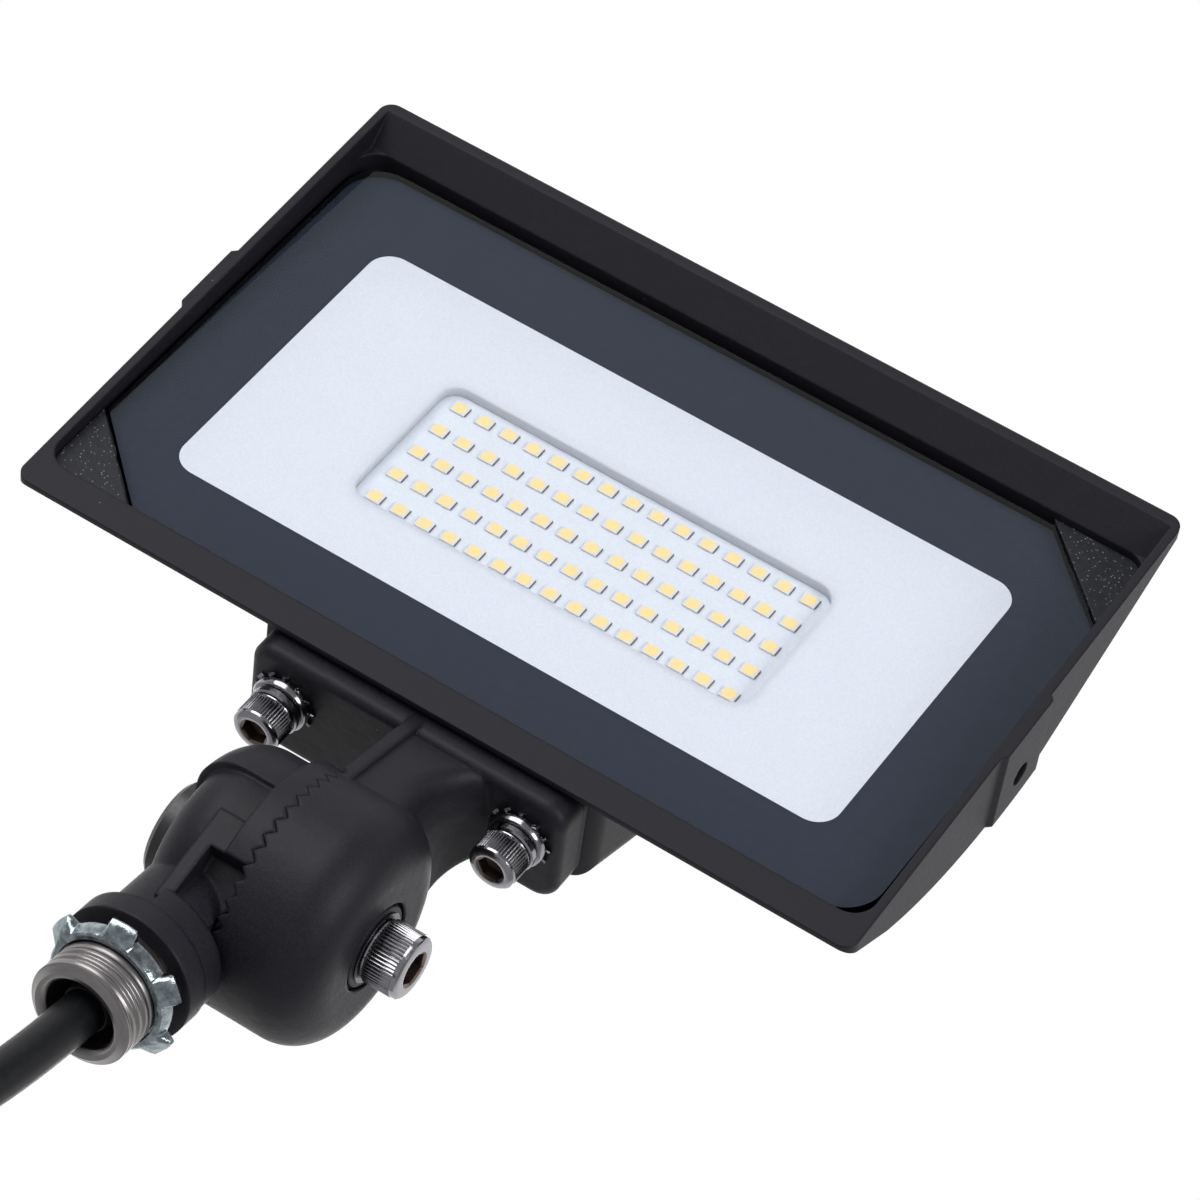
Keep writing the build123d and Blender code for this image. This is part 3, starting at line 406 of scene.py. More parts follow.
def tower(bm, segments, rings, closed=False):
    """Grow a tube ring by ring from a circle: each ring is its height and its radius, in mm."""
    edges = None
    first = None
    for height, reach in rings:
        if edges is None:
            made = bmesh.ops.create_circle(bm, segments=segments, radius=1)
            verts = made["verts"]
            edges = first = list({edge for vert in verts for edge in vert.link_edges})
        else:
            geometry = bmesh.ops.extrude_edge_only(bm, edges=edges)["geom"]
            verts = [item for item in geometry if isinstance(item, bmesh.types.BMVert)]
            fresh = set(verts)
            edges = [
                item
                for item in geometry
                if isinstance(item, bmesh.types.BMEdge) and fresh.issuperset(item.verts)
            ]
        for vert in verts:
            angle = atan2(vert.co.y, vert.co.x)
            radius = at_angle(reach, angle, height)
            vert.co = (radius * cos(angle), radius * sin(angle), height * MM)
    if closed:
        bmesh.ops.bridge_loops(bm, edges=first + edges)
    else:
        for loop in (first, edges):
            bmesh.ops.edgeloop_fill(bm, edges=loop)


def hexagon(across):
    """Radius of a hexagon, so many millimetres across its flats, at an angle."""

    def reach(angle, height):
        return across / 2 / cos((angle + pi / 6) % (pi / 3) - pi / 6)

    return reach


def knurled(radius, grooves):
    """Radius of a knurled cylinder at an angle."""

    def reach(angle, height):
        return radius - sizes().knurl_depth / MM * (0.5 + 0.5 * cos(grooves * angle))

    return reach


def socket_head(bm, radius, height, knurls, flats, socket_depth, shank, shank_length):
    """A socket-head screw: its head's end is at height 0 and its shank runs upwards.

    The faces inside the socket take the second material.
    """
    tower(
        bm,
        6 * knurls,
        [
            (socket_depth, 0.15 * flats),
            (socket_depth - 0.6, hexagon(flats)),
            (0.35, hexagon(flats)),
            (0.02, 0.62 * flats),
            (0.0, 0.66 * flats),
            (0.0, radius - 0.95),
            (0.12, radius - 0.5),
            (0.45, radius - 0.15),
            (0.85, radius - 0.06),
            (0.16 * height, radius - 0.06),
            (0.16 * height + 0.12, knurled(radius, knurls)),
            (0.9 * height, knurled(radius, knurls)),
            (0.93 * height, radius - 0.35),
            (0.97 * height, radius - 0.3),
            (height, radius - 0.5),
            (height, shank),
            (height + shank_length - 0.6, shank),
            (height + shank_length, shank - 0.5),
        ],
    )
    for face in bm.faces:
        middle = face.calc_center_median()
        if middle.xy.length < 0.6 * flats * MM and 0.1 * MM < middle.z < (socket_depth + 0.1) * MM:
            face.material_index = 1


def cut_ring(bm, gap):
    """Cut a ring open at its Y side, with a gap of so many millimetres, and close its two ends."""
    for side in (-1, 1):
        bmesh.ops.bisect_plane(
            bm,
            geom=bm.verts[:] + bm.edges[:] + bm.faces[:],
            plane_co=(side * gap / 2 * MM, 0, 0),
            plane_no=(1, 0, 0),
        )
    slot = []
    for face in bm.faces:
        middle = face.calc_center_median()
        if middle.y > 0 and abs(middle.x) < gap / 2 * MM:
            slot.append(face)
    bmesh.ops.delete(bm, geom=slot, context="FACES")
    bmesh.ops.holes_fill(bm, edges=[edge for edge in bm.edges if edge.is_boundary], sides=0)


def head_place(x, depth, height, turned=0.0):
    """A place on the head, with Z upwards along the head's own Z."""
    place = Matrix.Translation((x * MM, depth * MM, height * MM))
    return HEAD @ place @ Matrix.Rotation(turned, 4, "Z")


class FLOODLIGHT_OT_stage(Operator):
    """Make the camera, the pale floor and the soft studio light."""

    bl_idname = "floodlight.stage"
    bl_label = "Studio"

    def execute(self, context):
        scene = context.scene
        studio = scene.floodlight_studio
        scene.view_settings.view_transform = "Standard"

        # The camera looks up at the lit side from the right; its axes are in the head's frame
        right = Vector((0.83477, -0.09832, 0.54175))
        down = Vector((0.46464, 0.65370, -0.59732))
        ahead = right.cross(down)
        stand = Vector((289.5, -706.1, -572.7)) * MM
        turn = Matrix((right, -down, -ahead)).transposed().to_4x4()
        lens = bpy.data.cameras.new("camera")
        lens.lens = studio.lens
        lens.clip_start, lens.clip_end = 0.01, 50
        camera = bpy.data.objects.new("camera", lens)
        camera.matrix_world = HEAD @ Matrix.Translation(stand) @ turn
        context.collection.objects.link(camera)
        scene.camera = camera

        # Soft boxes above the lit side, beside it, and one behind for the views from there. They
        # leave out the glass, so that no view shows their image in it, as a polarising filter does.
        # Each has its direction in the head's frame, its distance and side in metres, and power.
        pane = bpy.data.collections.new("left_out_of_the_lamps")
        pane.objects.link(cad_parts["front_glass"])
        pane.collection_objects[0].light_linking.link_state = "EXCLUDE"
        middle = HEAD.translation
        for name, way, distance, side, power in (
            ("key_light", -down * 0.85 - ahead * 0.55 - right * 0.25, 1.5, 1.2, studio.key),
            ("side_light", right * 0.75 + down * 0.1 - ahead * 0.7, 1.5, 0.6, studio.side),
            ("back_light", Vector((-0.3, 0.85, 0.6)), 1.6, 1.2, studio.back),
        ):
            lamp = bpy.data.lights.new(name, "AREA")
            lamp.shape = "SQUARE"
            lamp.size = side
            lamp.energy = power
            box = bpy.data.objects.new(name, lamp)
            way = (HEAD.to_3x3() @ way).normalized()
            aim = way.to_track_quat("Z", "Y").to_matrix().to_4x4()
            box.matrix_world = Matrix.Translation(middle + way * distance) @ aim
            box.visible_camera = False
            box.light_linking.receiver_collection = pane
            context.collection.objects.link(box)

        world = bpy.data.worlds.new("studio")
        world.use_nodes = True
        tree = world.node_tree
        tree.nodes.clear()
        # A white backdrop stands behind the part, and the room behind the camera is darker
        way = node(tree, "ShaderNodeTexCoord").outputs["Generated"]
        facing = dotted(tree, way, HEAD.to_3x3() @ ahead)
        backdrop = spread(
            tree, facing, -0.2, 0.4, studio.room, 1.0, interpolation_type="SMOOTHSTEP"
        )
        ray = node(tree, "ShaderNodeLightPath").outputs
        shown = calculated(tree, "MAXIMUM", ray["Is Camera Ray"], ray["Is Transmission Ray"])
        strength = calculated(tree, "MAXIMUM", shown, backdrop)
        seen = calculated(tree, "MAXIMUM", shown, ray["Is Glossy Ray"])
        # Little light comes up from the floor
        rise = dotted(tree, way, HEAD.to_3x3() @ Vector((0, 0, 1)))
        sky = spread(tree, rise, -1.0, 0.2, 0.3 * studio.sky, 1.2 * studio.sky)
        lit = node(tree, "ShaderNodeBackground", {"Color": (0.96, 0.98, 1, 1), "Strength": sky})
        white = node(tree, "ShaderNodeBackground", {"Color": (1, 1, 1, 1), "Strength": strength})
        both = either(tree, seen, lit.outputs["Background"], white.outputs["Background"])
        node(tree, "ShaderNodeOutputWorld", {"Surface": both})
        scene.world = world

        # The floor: a sheet of white paper, 12 m wide and 2.6 m below the part
        bm = bmesh.new()
        bmesh.ops.create_grid(bm, x_segments=1, y_segments=1, size=6)
        bmesh.ops.translate(bm, vec=(0, 0, -2.6), verts=bm.verts)
        mesh = bpy.data.meshes.new("floor")
        bm.to_mesh(mesh)
        bm.free()
        paper, tree, shader, _ = material("seamless_paper")
        shader.inputs["Base Color"].default_value = (0.8, 0.8, 0.8, 1)
        shader.inputs["Roughness"].default_value = 0.9
        ray = node(tree, "ShaderNodeLightPath").outputs["Is Camera Ray"]
        glow = node(tree, "ShaderNodeEmission", {"Color": (1, 1, 1, 1), "Strength": 1.0})
        shown = either(tree, ray, shader.outputs["BSDF"], glow.outputs["Emission"])
        tree.links.new(shown, tree.nodes["Material Output"].inputs["Surface"])
        mesh.materials.append(paper)
        floor_sheet = bpy.data.objects.new("floor", mesh)
        context.collection.objects.link(floor_sheet)
        return {"FINISHED"}


# The cable's route, as in the part: its free stretch, then the coil about an axis along Y
CABLE_RADIUS = 4.3
ROUTE = (
    (0, 0, -1),
    (0, 0, -25),
    (-6, 0, -54),
    (-22, 1, -81),
    (-40, 1, -106),
    (-47, 1.1, -134),
)
COIL_MIDDLE = (0, 2, -162)
COIL_RADIUS = 47
COIL_PITCH = 9.6
COIL_TURNS = 1.75
COIL_POINTS = 28
LEAD_RADIUS = 1.25


def coil_point(turns, radius=COIL_RADIUS):
    """A point of the coil, so many turns from its start."""
    angle = pi + turns * tau
    return (
        COIL_MIDDLE[0] + radius * cos(angle),
        COIL_MIDDLE[1] + COIL_PITCH * turns,
        COIL_MIDDLE[2] + radius * sin(angle),
    )


def coil_way(turns):
    """The way in which the coil runs at that point."""
    angle = pi + turns * tau
    way = Vector((-COIL_RADIUS * sin(angle), COIL_PITCH / tau, COIL_RADIUS * cos(angle)))
    return way.normalized()


def cord_curve(name, points, radius, made):
    """A smooth round cord along control points in millimetres."""
    curve = bpy.data.curves.new(name, "CURVE")
    curve.dimensions = "3D"
    curve.bevel_depth = radius * MM
    curve.bevel_resolution = 6
    curve.resolution_u = 10
    curve.use_fill_caps = True
    spline = curve.splines.new("NURBS")
    spline.points.add(len(points) - 1)
    for point, co in zip(spline.points, points):
        point.co = (co[0] * MM, co[1] * MM, co[2] * MM, 1)
    spline.order_u = 3
    spline.use_endpoint_u = True
    curve.materials.append(made)
    piece = bpy.data.objects.new(name, curve)
    bpy.context.collection.objects.link(piece)
    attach(piece, "base")
    return piece


class FLOODLIGHT_OT_cable(Operator):
    """Make the cable with its coil, tie, bushing and stripped leads."""

    bl_idname = "floodlight.cable"
    bl_label = "Cable"

    def execute(self, context):
        # Jacket: extruded thermoplastic rubber, satin, with faint draw lines
        base = tuple(finishes().jacket)
        jacket = plastic("cable_jacket_rubber", base, 0.36, 1.2, 0.01, shine=0.3)
        # Tie: injection-moulded nylon
        nylon = plastic("tie_nylon", linear("#141416"), 0.38, 0.8, 0.01, ior=1.53)

        step = COIL_TURNS / COIL_POINTS
        outer = COIL_RADIUS / cos(step * pi)
        # The points stand a little outside the coil, so that the spline touches it
        points = list(ROUTE) + [coil_point(0)]
        points += [coil_point((index + 0.5) * step, outer) for index in range(COIL_POINTS)]
        points += [coil_point(COIL_TURNS)]
        cable = cord_curve("cable", points, CABLE_RADIUS, jacket)
        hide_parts("power_cable", "cable_coil")

        # Bushing: a rubber sleeve in the stub's bore, which tapers onto the cable
        rubber = plastic("bushing_rubber", linear("#101012"), 0.55, 0.5, 0.02, ior=1.52)
        bm = bmesh.new()
        tower(
            bm,
            64,
            [
                (9.0, 4.4),
                (9.0, 6.6),
                (8.4, 7.15),
                (0.2, 7.15),
                (-0.6, 6.7),
                (-1.0, 6.0),
                (-1.2, 5.5),
                (-5.4, 4.75),
                (-5.8, 4.55),
                (-5.8, 4.33),
            ],
            closed=True,
        )
        bushing = finish_piece(bm, "bushing", "base", [rubber], ["cable_bushing"])

        # Cable tie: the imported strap, softened, with its locking head on the coil's side
        bm = bmesh.new()
        bm.from_mesh(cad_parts["coil_tie"].data)
        bmesh.ops.remove_doubles(bm, verts=bm.verts, dist=0.001 * MM)
        bmesh.ops.dissolve_limit(bm, angle_limit=radians(1), verts=bm.verts, edges=bm.edges)
        rims = []
        for edge in bm.edges:
            if edge.is_manifold and edge.calc_face_angle() > radians(60):
                rims.append(edge)
        bevel(bm, rims, 0.25, 2)
        low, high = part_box("coil_tie")
        lock = block(bm, 6.2, 3.4, 5.2)
        place = ((low.x + high.x) / 2, high.y + 0.6 * MM, (low.z + high.z) / 2)
        bmesh.ops.translate(bm, vec=place, verts=lock)
        bevel(bm, list({edge for vert in lock for edge in vert.link_edges}), 0.5, 2)
        tie = finish_piece(bm, "cable_tie", "base", [nylon], ["coil_tie"])

        # Leads: thin insulation over stranded cores, which spread a little past the jacket
        end = Vector(coil_point(COIL_TURNS))
        along = coil_way(COIL_TURNS)
        side = (Vector((0, 1, 0)) - along * along.y).normalized()
        up = along.cross(side)
        leads = []
        colours = (("black", "#131314"), ("white", "#e9e7e1"), ("green", "#1d7a35"))
        for number, (label, code) in enumerate(colours):
            angle = radians(90 + 120 * number)
            offset = side * cos(angle) + up * sin(angle)
            # Insulation: extruded vinyl, coloured right through
            tint = linear(code)
            sleeve = plastic("lead_insulation_" + label, tint, 0.35, 0.6, 0.004, ior=1.53)
            route = [
                end + offset * 1.5,
                end + offset * 1.5 + along * 9,
                end + offset * 1.9 + along * 19,
                end + offset * 1.7 + along * 27,
                end + offset * 1.5 + along * 32,
            ]
            points = [tuple(point) for point in route]
            lead = cord_curve("lead_insulated_" + label, points, LEAD_RADIUS, sleeve)
            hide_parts("lead_" + label)
            leads.append((lead, route))
        # Tips: six twisted copper strands round a seventh
        copper = metal("bare_copper", linear("#c98d62"), 0.3, 0.4, 0.004)

        def strands(angle, height):
            return 0.66 + 0.08 * cos(6 * angle + 0.9 * height)

        bm = bmesh.new()
        for _, route in leads:
            before = len(bm.verts)
            tower(bm, 36, [(0.5 * index, strands) for index in range(19)])
            bm.verts.ensure_lookup_table()
            fresh = bm.verts[before:]
            turn = along.to_track_quat("Z", "Y").to_matrix().to_4x4()
            bmesh.ops.transform(bm, matrix=Matrix.Translation(route[-1] * MM) @ turn, verts=fresh)
        tips = finish_piece(bm, "lead_strands", "base", [copper], ["lead_tips"])
        return {"FINISHED"}


class FLOODLIGHT_OT_castings(Operator):
    """Coat the die-cast housing, the knuckle's halves and the corner blocks."""

    bl_idname = "floodlight.castings"
    bl_label = "Castings"

    def execute(self, context):
        base = tuple(finishes().coat)
        # The coat's real grain is about 0.1 mm; it is drawn at 0.3 mm so that it shows
        housing_coat = powder_coat("housing_powder_coat", base, 0.3, 0.018, 0.54, 0.7)
        # The knuckle is sand-grained under its coat, and coarser than the housing
        knuckle_coat = powder_coat("knuckle_powder_coat", base, 0.42, 0.045, 0.5, 1.1)
        # Corner blocks: moulded glass-filled nylon with a spark-eroded face; its sparkle is painted
        # glints, dense and 0.8 mm apart
        grey = linear("#1d1e23")
        nylon = powder_coat("block_eroded_nylon", grey, 0.5, 0.09, 0.5, 0.4, glint_gap=0.8)
        wear("housing", housing_coat)
        wear("knuckle_arm", knuckle_coat)
        wear("knuckle_base", knuckle_coat)
        wear("corner_block_lower_left", nylon)
        wear("corner_block_upper_right", nylon)
        # Black zinc on the nut that closes the pivot
        wear("pivot_nut", plastic("black_zinc", linear("#141417"), 0.4, 0.6, 0.01, ior=1.6))
        return {"FINISHED"}


# The glass's two cut corners: where each would be, and the way in from there, to the side and up
CUT_CORNERS = ((-GLASS_HALF_WIDTH, GLASS_BOTTOM, 1), (GLASS_HALF_WIDTH, GLASS_TOP, -1))


def cut_line(corner, level, inwards):
    """A point on the glass's cut and the way out across it, in the head's frame."""
    point = Vector(((corner + inwards * GLASS_CUT_WIDTH) * MM, 0, level * MM))
    out = Vector((-inwards * GLASS_CUT_HEIGHT, 0, -inwards * GLASS_CUT_WIDTH))
    return point, out.normalized()


def shade_cut_corners(made):
    """Black sealant hides the tray's two corners, beyond the glass's cuts."""
    tree = made.node_tree
    shader = tree.nodes["Principled BSDF"]
    place = tree.nodes["Texture Coordinate"].outputs["Object"]
    for corner in CUT_CORNERS:
        point, out = cut_line(*corner)
        across = HEAD.to_3x3() @ out
        limit = (HEAD @ point).dot(across) - MM
        beyond = calculated(tree, "GREATER_THAN", dotted(tree, place, across), limit)
        under = shader.inputs["Base Color"].links[0].from_socket
        sealed = shades(tree, beyond, under, linear("#0e0e10"))
        tree.links.new(sealed, shader.inputs["Base Color"])


def flat_plate(bm, width, height, middle):
    """Add a rectangle in the head's front plane, in metres, and give its corners."""
    verts = bmesh.ops.create_grid(bm, x_segments=1, y_segments=1, size=0.5)["verts"]
    upright = Matrix.Translation((0, 0, middle)) @ Matrix.Rotation(pi / 2, 4, "X")
    bmesh.ops.transform(bm, matrix=upright @ Matrix.Diagonal((width, height, 1, 1)), verts=verts)
    return verts


class FLOODLIGHT_OT_light_engine(Operator):
    """Make the printed glass, the white reflector and board, and the light-emitting packages."""

    bl_idname = "floodlight.light_engine"
    bl_label = "Light engine"

    def execute(self, context):
        fine = sizes()
        wear("front_glass", clear_glass("tempered_glass"))
        # Gaskets: cut silicone foam
        silicone = plastic("silicone_gasket", linear("#0e0e10"), 0.6, 0.4, 0.02, ior=1.43)
        wear("glass_gasket", silicone)
        wear("flange_gasket", silicone)
        # Reflector: white polycarbonate, moulded with a fine matt face
        white = tuple(finishes().tray)
        tray = plastic("reflector_polycarbonate", white, 0.55, 0.5, 0, ior=1.58, seep=0.5, edge=3)
        shade_cut_corners(tray)
        wear("reflector_tray", tray)
        # Board: aluminium core under a white solder mask
        mask = tuple(finishes().mask)
        wear("led_board", plastic("white_solder_mask", mask, 0.45, 0.5, 0.002, seep=0.5))
        # Small screws: cold-headed stainless steel, dulled by tumbling
        steel = metal("stainless_steel_small", tuple(finishes().steel), 0.3, 0.3, 0.004)
        wear("board_screws", steel)
        wear("driver_screws", steel)
        # Driver: a polyester case filled with grey potting
        potting = plastic("potting_resin", linear("#24242a"), 0.5, 1.5, 0.05, ior=1.53)
        wear("driver_module", potting)

        # Border: black ceramic ink, screen-printed and fired on the glass's back, with a clear
        # window. It has melted onto the glass, so no air lies between them to reflect. Its
        # blue-grey colour is the black ink with a painted reflection of the studio in it.
        ink_and_painted_reflection = plastic("ceramic_ink_and_painted_reflection", tuple(finishes().border), 0.5, 2.0, 0, shine=0)
        low, high = GLASS_BOTTOM + PRINT_MARGIN, GLASS_TOP - PRINT_MARGIN
        half = GLASS_HALF_WIDTH - PRINT_MARGIN
        bm = bmesh.new()
        flat_plate(bm, 2 * half * MM, (high - low) * MM, (high + low) / 2 * MM)
        for corner in CUT_CORNERS:
            point, out = cut_line(*corner)
            bmesh.ops.bisect_plane(
                bm,
                geom=bm.verts[:] + bm.edges[:] + bm.faces[:],
                plane_co=point - out * PRINT_MARGIN * MM,
                plane_no=out,
                clear_outer=True,
            )
        # The two corners that are not cut are round
        corners = []
        for vert in bm.verts:
            at_end = abs(vert.co.x) > (half - 1) * MM and abs(vert.co.z) > 50 * MM
            if at_end and (vert.co.x < 0) != (vert.co.z < 0):
                corners.append(vert)
        bevel(bm, corners, PRINT_CORNER_RADIUS, 12, "VERTICES")
        bmesh.ops.delete(bm, geom=bm.faces[:], context="FACES_ONLY")
        inner = flat_plate(bm, fine.window_width, fine.window_height, 0)
        bevel(bm, inner, fine.window_radius / MM, 12, "VERTICES")
        bmesh.ops.delete(bm, geom=bm.faces[:], context="FACES_ONLY")
        bmesh.ops.triangle_fill(bm, edges=bm.edges[:], use_beauty=True, normal=(0, -1, 0))
        bmesh.ops.translate(bm, vec=(0, PRINT_DEPTH * MM, 0), verts=bm.verts)
        grown = bmesh.ops.extrude_face_region(bm, geom=bm.faces[:])["geom"]
        backs = [item for item in grown if isinstance(item, bmesh.types.BMVert)]
        bmesh.ops.translate(bm, vec=(0, PRINT_THICKNESS * MM, 0), verts=backs)
        border = finish_piece(bm, "glass_border", "head", [ink_and_painted_reflection], place=HEAD, smooth=False)
        # The print lies on the glass's back, so it throws no shade on the white tray behind it
        border.visible_shadow = False
        border.visible_diffuse = False

        # Packages: a white body, a silicone face full of phosphor, and a terminal at each end
        body = plastic("package_body", linear("#d3d7e0"), 0.4, 0.5, 0.002, ior=1.6)
        yellow = tuple(finishes().phosphor)
        face = plastic("phosphor_silicone", yellow, 0.35, 0.25, 0.01, ior=1.43)
        # The terminals are darker than their metal: their colour paints the shade line along each
        # package's end
        terminal_and_painted_shade = metal("package_terminal_and_painted_shade", linear("#5b5654"), 0.45, 0.3, 0.002)
        single = bmesh.new()
        block(single, PACKAGE_LENGTH, PACKAGE_THICKNESS, PACKAGE_HEIGHT)
        bevel(single, single.edges[:], 0.08, 1)
        made = bmesh.ops.create_circle(single, segments=24, radius=1, cap_ends=True)
        for vert in made["verts"]:
            angle = atan2(vert.co.y, vert.co.x)
            # A square with rounded corners, a little to the left of the body's middle
            radius = 1.27 / (abs(cos(angle)) ** 5 + abs(sin(angle)) ** 5) ** (1 / 5)
            across, up = 1.04 * radius * cos(angle) - 0.14, radius * sin(angle)
            vert.co = (across * MM, -0.21 * MM, up * MM)
        for emitting in {item for vert in made["verts"] for item in vert.link_faces}:
            emitting.material_index = 1
        for side in (-1, 1):
            bar = block(single, 0.3, 0.3, 2.3)
            place = ((side * 1.68 + 0.08) * MM, 0.04 * MM, 0)
            bmesh.ops.translate(single, vec=place, verts=bar)
            for terminal in {item for vert in bar for item in vert.link_faces}:
                terminal.material_index = 2
        package = bpy.data.meshes.new("package")
        single.to_mesh(package)
        single.free()
        bm = bmesh.new()
        for column in range(PACKAGE_COLUMNS):
            for row in range(PACKAGE_ROWS):
                before = len(bm.verts)
                bm.from_mesh(package)
                bm.verts.ensure_lookup_table()
                x = (column - (PACKAGE_COLUMNS - 1) / 2) * PACKAGE_PITCH_X
                z = (row - (PACKAGE_ROWS - 1) / 2) * PACKAGE_PITCH_Z
                place = (x * MM, PACKAGE_DEPTH * MM, z * MM)
                bmesh.ops.translate(bm, vec=place, verts=bm.verts[before:])
        bpy.data.meshes.remove(package)
        finish_piece(
            bm, "light_packages", "head", [body, face, terminal_and_painted_shade], ["led_packages"], HEAD,
            smooth=False,
        )
        return {"FINISHED"}


class FLOODLIGHT_OT_fasteners(Operator):
    """Make the knurled screws and their washers."""

    bl_idname = "floodlight.fasteners"
    bl_label = "Fasteners"

    def execute(self, context):
        fine = sizes()
        # Screws and washers: cold-headed or stamped stainless steel, polished by tumbling
        steel = metal("stainless_steel", tuple(finishes().steel), 0.16, 0.5, 0.002)
        dark = metal("stainless_steel_washer", linear("#55565a"), 0.25, 0.5, 0.004)
        # The faces inside the broached sockets are darker and browner
        socket_tone = metal("socket_steel_darker", linear("#6f625b"), 0.38, 0.5, 0.01)
        for number, label in enumerate(("left", "right")):
            x = (-FLANGE_SCREW_REACH, FLANGE_SCREW_REACH)[number]

            def hung(below, turned=0.0):
                """A place so many millimetres below the flange, on the screw's axis."""
                return head_place(x, HINGE_BEHIND_GLASS, FLANGE_UNDERSIDE - below, turned)

            bm = bmesh.new()
            socket_head(bm, 5.0, 6.0, fine.flange_knurls, 5.0, 3.0, 3.0, 18.9)
            finish_piece(
                bm, "socket_screw_" + label, "head", [steel, socket_tone],
                ["flange_screw_" + label], hung(10.3, radians(14 + 20 * number)),
            )
            # Spring washer: a square wire, cut once, whose ends stand a little apart
            bm = bmesh.new()
            rings = [(0, 3.35), (0, 5.0), (0.25, 5.3), (1.35, 5.3), (1.6, 5.0), (1.6, 3.35)]
            tower(bm, 96, rings, closed=True)
            cut_ring(bm, 0.8)
            finish_piece(
                bm, "split_washer_" + label, "head", [steel],
                ["spring_washer_" + label], hung(4.25, radians(150 * number)),
            )
            # Flat washer, stamped: one edge is rolled and the other sharp
            bm = bmesh.new()
            rings = [(0, 3.3), (0, 5.5), (0.12, 5.8), (0.45, 6.0)]
            rings += [(1.5, 6.0), (1.6, 5.92), (1.6, 3.3)]
            tower(bm, 96, rings, closed=True)
            finish_piece(
                bm, "plain_washer_" + label, "head", [steel],
                ["flat_washer_" + label], hung(2.5),
            )
            # Tooth washer: a thin ring with teeth that are twisted to bite
            bm = bmesh.new()
            tower(bm, 72, [(0.15, 3.3), (0.15, 5.3), (0.75, 5.3), (0.75, 3.3)], closed=True)
            for tooth in range(12):
                place = Matrix.Rotation(radians(30 * tooth), 4, "Z")
                place = place @ Matrix.Translation((5.9 * MM, 0, 0.45 * MM))
                place = place @ Matrix.Rotation(fine.tooth_twist, 4, "X")
                bmesh.ops.transform(bm, matrix=place, verts=block(bm, 1.7, 1.25, 0.34))
            finish_piece(
                bm, "lock_washer_" + label, "head", [steel],
                ["tooth_washer_" + label], hung(0.9), smooth=False,
            )

        # Pivot bolt, on the hinge: the head's end looks right
        bm = bmesh.new()
        socket_head(bm, 6.5, 8.0, fine.pivot_knurls, 6.1, 4.3, 4.0, 42.6)
        end = KNUCKLE @ Matrix.Translation((0, 0, PIVOT_BOLT_END * MM))
        finish_piece(
            bm, "pivot_socket_bolt", "head", [steel, socket_tone], ["pivot_bolt"],
            end @ Matrix.Rotation(pi, 4, "X"),
        )
        # A coated washer fills the seat, and a split one stands on it under the head
        coat = tuple(finishes().coat)
        black = powder_coat("washer_powder_coat", coat, 0.42, 0.045, 0.5, 0.5)
        bm = bmesh.new()
        rings = [(0, 4.4), (0, 8.2), (0.15, 8.38), (1.3, 8.38), (1.5, 8.1), (1.5, 4.4)]
        tower(bm, 96, rings, closed=True)
        for face in bm.faces:
            face.material_index = 1
        ring = bmesh.new()
        rings = [(1.52, 4.4), (1.52, 7.1), (1.6, 7.2), (1.9, 7.2), (1.98, 7.1), (1.98, 4.4)]
        tower(ring, 96, rings, closed=True)
        cut_ring(ring, 0.9)
        upper = bpy.data.meshes.new("ring")
        ring.to_mesh(upper)
        ring.free()
        bm.from_mesh(upper)
        bpy.data.meshes.remove(upper)
        seat = KNUCKLE @ Matrix.Translation((0, 0, PIVOT_SEAT * MM))
        finish_piece(
            bm, "pivot_split_washer", "head", [dark, black], ["pivot_washer"],
            seat @ Matrix.Rotation(radians(100), 4, "Z"),
        )
        return {"FINISHED"}


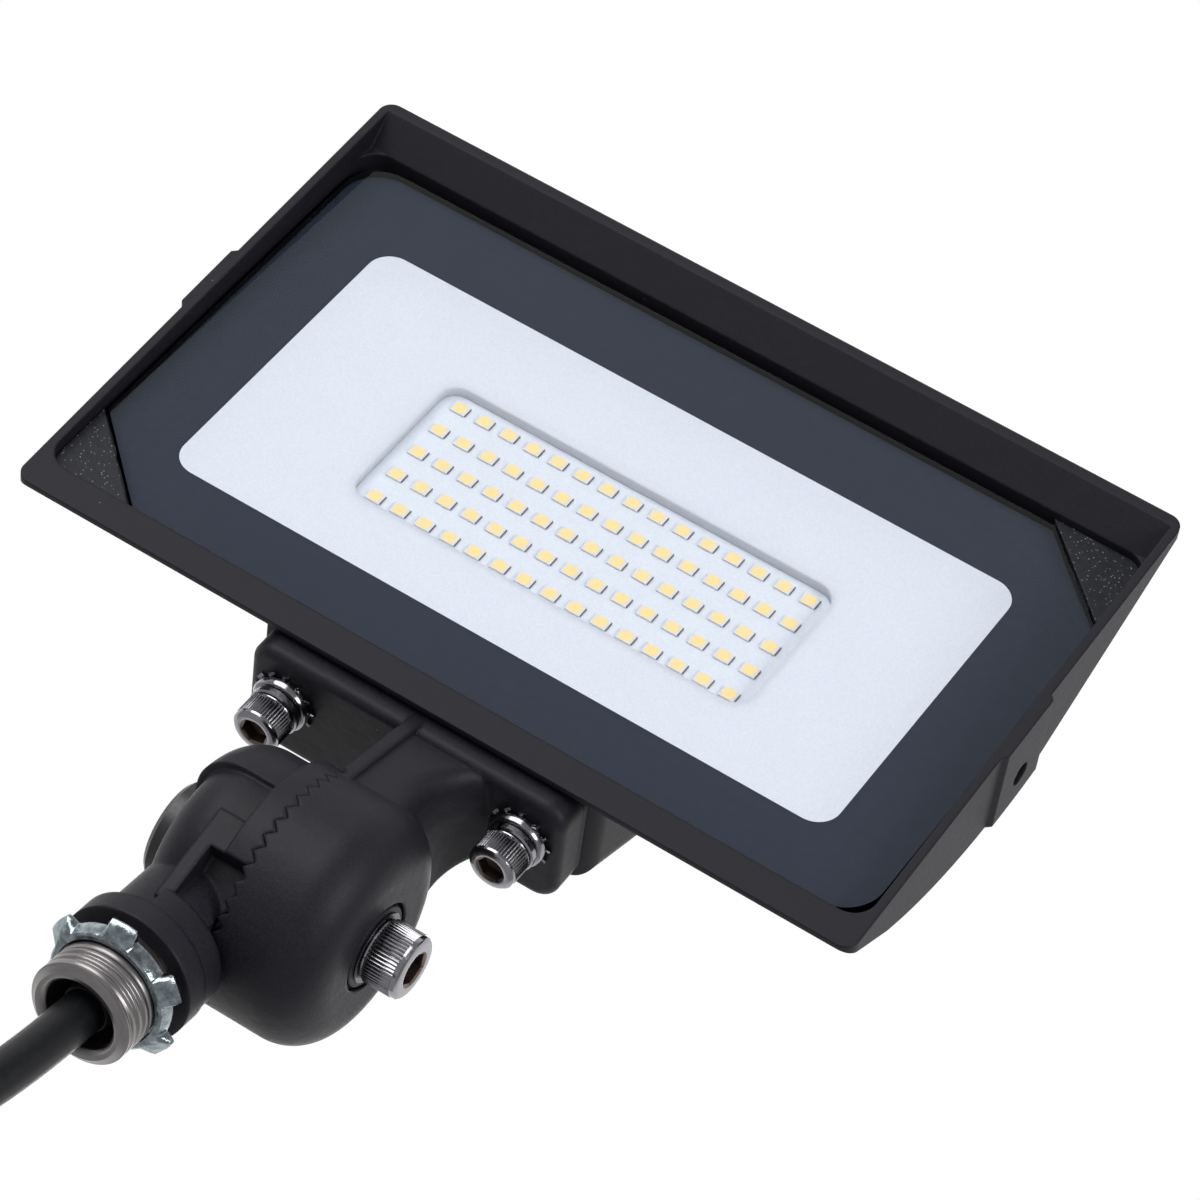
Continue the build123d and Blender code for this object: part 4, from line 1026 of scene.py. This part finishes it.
class FLOODLIGHT_OT_stub(Operator):
    """Make the stub's thread and the locknut."""

    bl_idname = "floodlight.stub"
    bl_label = "Stub and locknut"

    def execute(self, context):
        fine = sizes()
        pitch = fine.thread_pitch / MM
        depth = fine.thread_depth / MM
        # Turned aluminium: fine rings left by the tool
        base = tuple(finishes().aluminium)
        turned = metal("turned_aluminium", base, 0.33, 0.35, 0.006, axis=(0.12, 0.12, 1))

        def thread(angle, height):
            """The thread's radius: it runs out at the end, and is shallow from the locknut up."""
            phase = height / pitch - angle / tau
            fade = min(1, max(0.3, (-1 - height) / 1.5), max(0, (height + 7.2) / 1.5))
            return 10.46 - depth * (0.5 - 0.5 * cos(tau * phase)) ** 2 * fade

        bm = bmesh.new()
        rings = [(14.1, 7.2), (14.1, 10.0), (4.2, 10.0)]
        rings += [(3.9 - 0.1 * index, thread) for index in range(112)]
        rings += [(-7.35, 10.1), (-8.2, 9.2), (-8.4, 8.9), (-8.4, 8.2)]
        rings += [(-8.3, 8.0), (-7.5, 7.25), (-7.3, 7.2)]
        tower(bm, 144, rings, closed=True)
        finish_piece(
            bm, "stub_thread", "base", [turned], ["threaded_stub"]
        )

        # Locknut: stamped steel, zinc-plated with a blue passivation that lies in soft blotches
        plate = metal("blue_zinc_plate", tuple(finishes().zinc), 0.2, 1.6, 0.12, dark=0.38)

        def lug(angle):
            """The share of a lug at an angle: 1 on one of the six, and 0 between them."""
            turn = (angle - radians(30)) % radians(60)
            off = min(turn, radians(60) - turn) * 13.5
            return min(1, max(0, (3.3 - off) / 0.8))

        bm = bmesh.new()
        tower(
            bm,
            288,
            [
                (0.3, 10.56),
                (0.0, 10.8),
                (0.0, 11.6),
                (0.25, lambda angle, height: 12.0 + 0.2 * lug(angle)),
                (1.1, lambda angle, height: 12.3 + 1.2 * lug(angle)),
                (2.0, lambda angle, height: 12.4 + 2.1 * lug(angle)),
                (2.7, lambda angle, height: 12.5 + 2.28 * lug(angle)),
                (3.1, lambda angle, height: 12.45 + 2.2 * lug(angle)),
                (3.2, lambda angle, height: 12.2 + 1.9 * lug(angle)),
                (3.2, lambda angle, height: 11.7 + 1.2 * lug(angle)),
                (2.9, lambda angle, height: 11.45 + 1.0 * lug(angle)),
                (1.5, 11.3),
                (1.3, 11.0),
                (1.3, 10.56),
            ],
            closed=True,
        )
        finish_piece(bm, "stamped_locknut", "locknut", [plate], ["locknut"])
        return {"FINISHED"}


class FLOODLIGHT_PT_panel(Panel):
    """Lists the floodlight's pieces and their settings."""

    bl_idname = "FLOODLIGHT_PT_panel"
    bl_label = "LED floodlight"
    bl_space_type = "VIEW_3D"
    bl_region_type = "UI"
    bl_category = "Floodlight"

    def draw(self, context):
        for operator in OPERATORS:
            self.layout.operator(operator.bl_idname)
        scene = context.scene
        for group in (scene.floodlight_finishes, scene.floodlight_sizes, scene.floodlight_studio):
            box = self.layout.box()
            for name in group.__annotations__:
                box.prop(group, name)


OPERATORS = (
    FLOODLIGHT_OT_stage,
    FLOODLIGHT_OT_cable,
    FLOODLIGHT_OT_castings,
    FLOODLIGHT_OT_light_engine,
    FLOODLIGHT_OT_fasteners,
    FLOODLIGHT_OT_stub,
)
GROUPS = (FloodlightFinishes, FloodlightSizes, FloodlightStudio)
CLASSES = (*GROUPS, *OPERATORS, FLOODLIGHT_PT_panel)


def register():
    """Register the classes and hang their settings on the scene."""
    for made in CLASSES:
        bpy.utils.register_class(made)
    bpy.types.Scene.floodlight_finishes = PointerProperty(type=FloodlightFinishes)
    bpy.types.Scene.floodlight_sizes = PointerProperty(type=FloodlightSizes)
    bpy.types.Scene.floodlight_studio = PointerProperty(type=FloodlightStudio)


def unregister():
    """Take the settings and the classes away again."""
    del bpy.types.Scene.floodlight_finishes
    del bpy.types.Scene.floodlight_sizes
    del bpy.types.Scene.floodlight_studio
    for made in reversed(CLASSES):
        bpy.utils.unregister_class(made)


def main():
    """Make every piece in order."""
    register()
    bpy.ops.floodlight.stage()
    bpy.ops.floodlight.cable()
    bpy.ops.floodlight.castings()
    bpy.ops.floodlight.light_engine()
    bpy.ops.floodlight.fasteners()
    bpy.ops.floodlight.stub()


if __name__ == "__main__":
    main()
